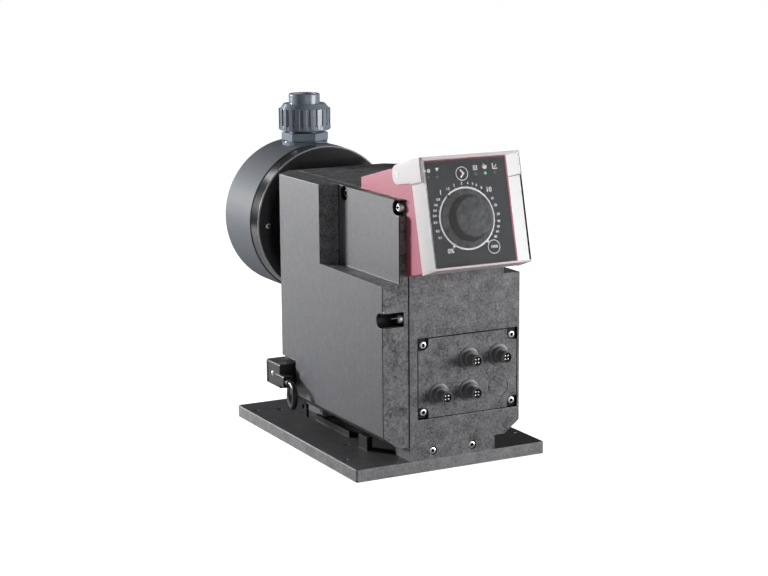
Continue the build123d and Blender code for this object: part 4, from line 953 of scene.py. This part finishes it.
def make_dial_print():
    parts = [flat_ring("dial_ring", 28.7 * mm, 30.4 * mm, 0, 0, film_stand)]
    marks = [(-25.5, 26.5, "1", 6.6), (-17.3, 29.6, "1.5", 3.0), (-10.1, 32.4, "2", 3.2), (-1.8, 33.6, "3", 3.2),
             (5.1, 33.4, "4", 3.2), (10.4, 32.4, "5", 3.2), (14.4, 31.1, "6", 3.2), (19.6, 28.0, "8", 3.2),
             (27.4, 25.6, "10", 6.6), (30.2, 17.0, "15", 3.0), (33.0, 10.2, "20", 3.0), (34.9, 1.4, "30", 3.0),
             (34.5, -5.4, "40", 3.0), (33.4, -10.6, "50", 3.0), (31.8, -15.3, "60", 3.0), (29.1, -20.0, "80", 3.0),
             (-28.9, 20.1, "0.8", 2.9), (-31.9, 15.1, "0.6", 2.9), (-33.6, 9.9, "0.5", 2.9), (-34.7, 4.9, "0.4", 2.9),
             (-34.7, -1.5, "0.3", 2.9), (-33.4, -9.7, "0.2", 2.9), (-31.4, -16.2, "0.1", 2.9), (-21.6, -29.8, "0%", 6.0)]
    for x, rise, text, size in marks:
        parts.append(printed_word(text, (size if size > 4 else size + 0.3) * mm, x * mm, rise * mm, bold=(0.13 if size > 4 else 0.08) * mm))
        if size < 4 or text == "10":
            angle = math.degrees(math.atan2(rise, x))
            parts.append(flat_ring("dial_tick", 30.2 * mm, 31.3 * mm, 0, 0, film_stand, start=angle - 0.45, sweep=0.9, steps=2))
    for angle in (math.degrees(math.atan2(-24.7, -16.9)), math.degrees(math.atan2(-23.5, 19.7))):
        parts.append(flat_ring("end_tick", 28.4 * mm, 32.2 * mm, 0, 0, film_stand, start=angle - 2.4, sweep=4.8, steps=4))
    dial = joined(parts, "dial_print")
    paint(dial, print_white)
    goes_with(dial, "control_panel")


def make_symbols():
    tank = [(-1.5, -1.7), (1.5, -1.7), (1.5, 1.7), (-1.5, 1.7)]
    arrow = [(-4.3, 1.0), (-2.2, 0.0), (-4.3, -1.0)]
    fault = [(-2.0, 1.6), (2.2, 1.6), (-0.2, -2.0)]
    hand = [(-0.9, -2.3), (1.6, -2.3), (2.6, -0.7), (2.6, 1.0), (2.1, 1.2), (1.7, 0.5), (1.5, 1.7), (1.0, 1.8), (0.5, 0.8),
            (-0.9, 3.1), (-1.6, 2.7), (-0.6, 0.3), (-1.2, -0.1), (-2.3, 1.0), (-2.8, 0.4), (-1.6, -1.2)]
    corner = [(-2.6, 3.2), (-1.6, 3.2), (-1.6, -1.5), (2.9, -1.5), (2.9, -2.5), (-2.6, -2.5)]
    rise_line = [(-1.0, -0.9), (-0.3, -1.2), (2.2, 1.0), (1.6, 1.8)]
    chevron = [(-2.7, 3.4), (-1.3, 4.2), (2.6, 0.1), (-1.3, -4.2), (-2.7, -3.3), (0.2, 0.1)]
    parts = [printed_shape("tank_symbol", tank, -35.6, 48.0), printed_shape("tank_arrow", arrow, -35.6, 48.0),
             printed_shape("fault_symbol", fault, -26.5, 48.7), printed_shape("hand_symbol", hand, 25.5, 48.1),
             printed_shape("level_symbol", corner, 36.8, 47.6), printed_shape("level_line", rise_line, 37.0, 47.8)]
    for column in (-1.8, 0.0, 1.8):
        pulse = [(column - 0.45, -1.2), (column + 0.45, -1.2), (column + 0.45, 2.4), (column - 0.45, 2.4)]
        parts.append(printed_shape("pulse_symbol", pulse, 15.2, 47.7))
    parts.append(printed_shape("pulse_line", [(-2.4, -2.2), (2.4, -2.2), (2.4, -1.5), (-2.4, -1.5)], 15.2, 47.7))
    symbols = joined(parts, "panel_symbols")
    paint(symbols, print_white)
    goes_with(symbols, "control_panel")
    for node, x, rise in (("mode_key", 0.0, 43.0), ("full_capacity_key", 26.0, -29.4)):
        key = refined(node, 0.1 * mm)
        paint(key, panel_film)
        stands_for(key, node)
        ring = flat_ring(f"{node}_ring", 6.1 * mm, 6.8 * mm, x * mm, rise * mm, film_stand)
        paint(ring, print_white)
        goes_with(ring, "control_panel")
        if node == "mode_key":
            mark = printed_shape("key_chevron", chevron, x, rise, 0.4 * mm)
        else:
            mark = printed_word("100%", 3.7 * mm, x * mm, rise * mm, 0.4 * mm)
        mark.name = f"{node}_print"
        paint(mark, print_white)
        goes_with(mark, node)


def make_lenses():
    places = (-36.6, -27.0, 15.3, 25.6, 36.5)
    lenses = []
    for x in places:
        wide = 1.25 if x == 25.6 else 1.0
        outline = [(0, 0.75), (0.7 * wide, 0.68), (1.15 * wide, 0.42), (1.45 * wide, 0.0), (1.45, -0.1), (1.45, -2.6), (0, -2.6)]
        lens = turned_piece(f"lens_{len(lenses)}", [(radius * mm, level * mm) for radius, level in outline], 32)
        on_panel(lens, x * mm, 41.8 * mm)
        smooth(lens, 40)
        lenses.append(lens)
    lit = lenses.pop(3)
    lit.name = "lit_lens"
    paint(lit, lens_green, lens_core)
    lit_middle = dial_centre + panel_right * 25.6 * mm + panel_up * 41.8 * mm
    paint_where(lit, 1, lambda middle, normal: ((middle - lit_middle) - panel_out * (middle - lit_middle).dot(panel_out)).length < 0.8 * mm)
    unlit = joined(lenses, "unlit_lenses")
    paint(unlit, lens_off)
    stands_for(unlit, "indicator_lenses")
    goes_with(lit, "indicator_lenses")


dress_plainly()
make_shell()
make_crease()
make_cover()
make_screws()
make_signal_connectors()
make_knob()
make_dial_print()
make_symbols()
make_lenses()
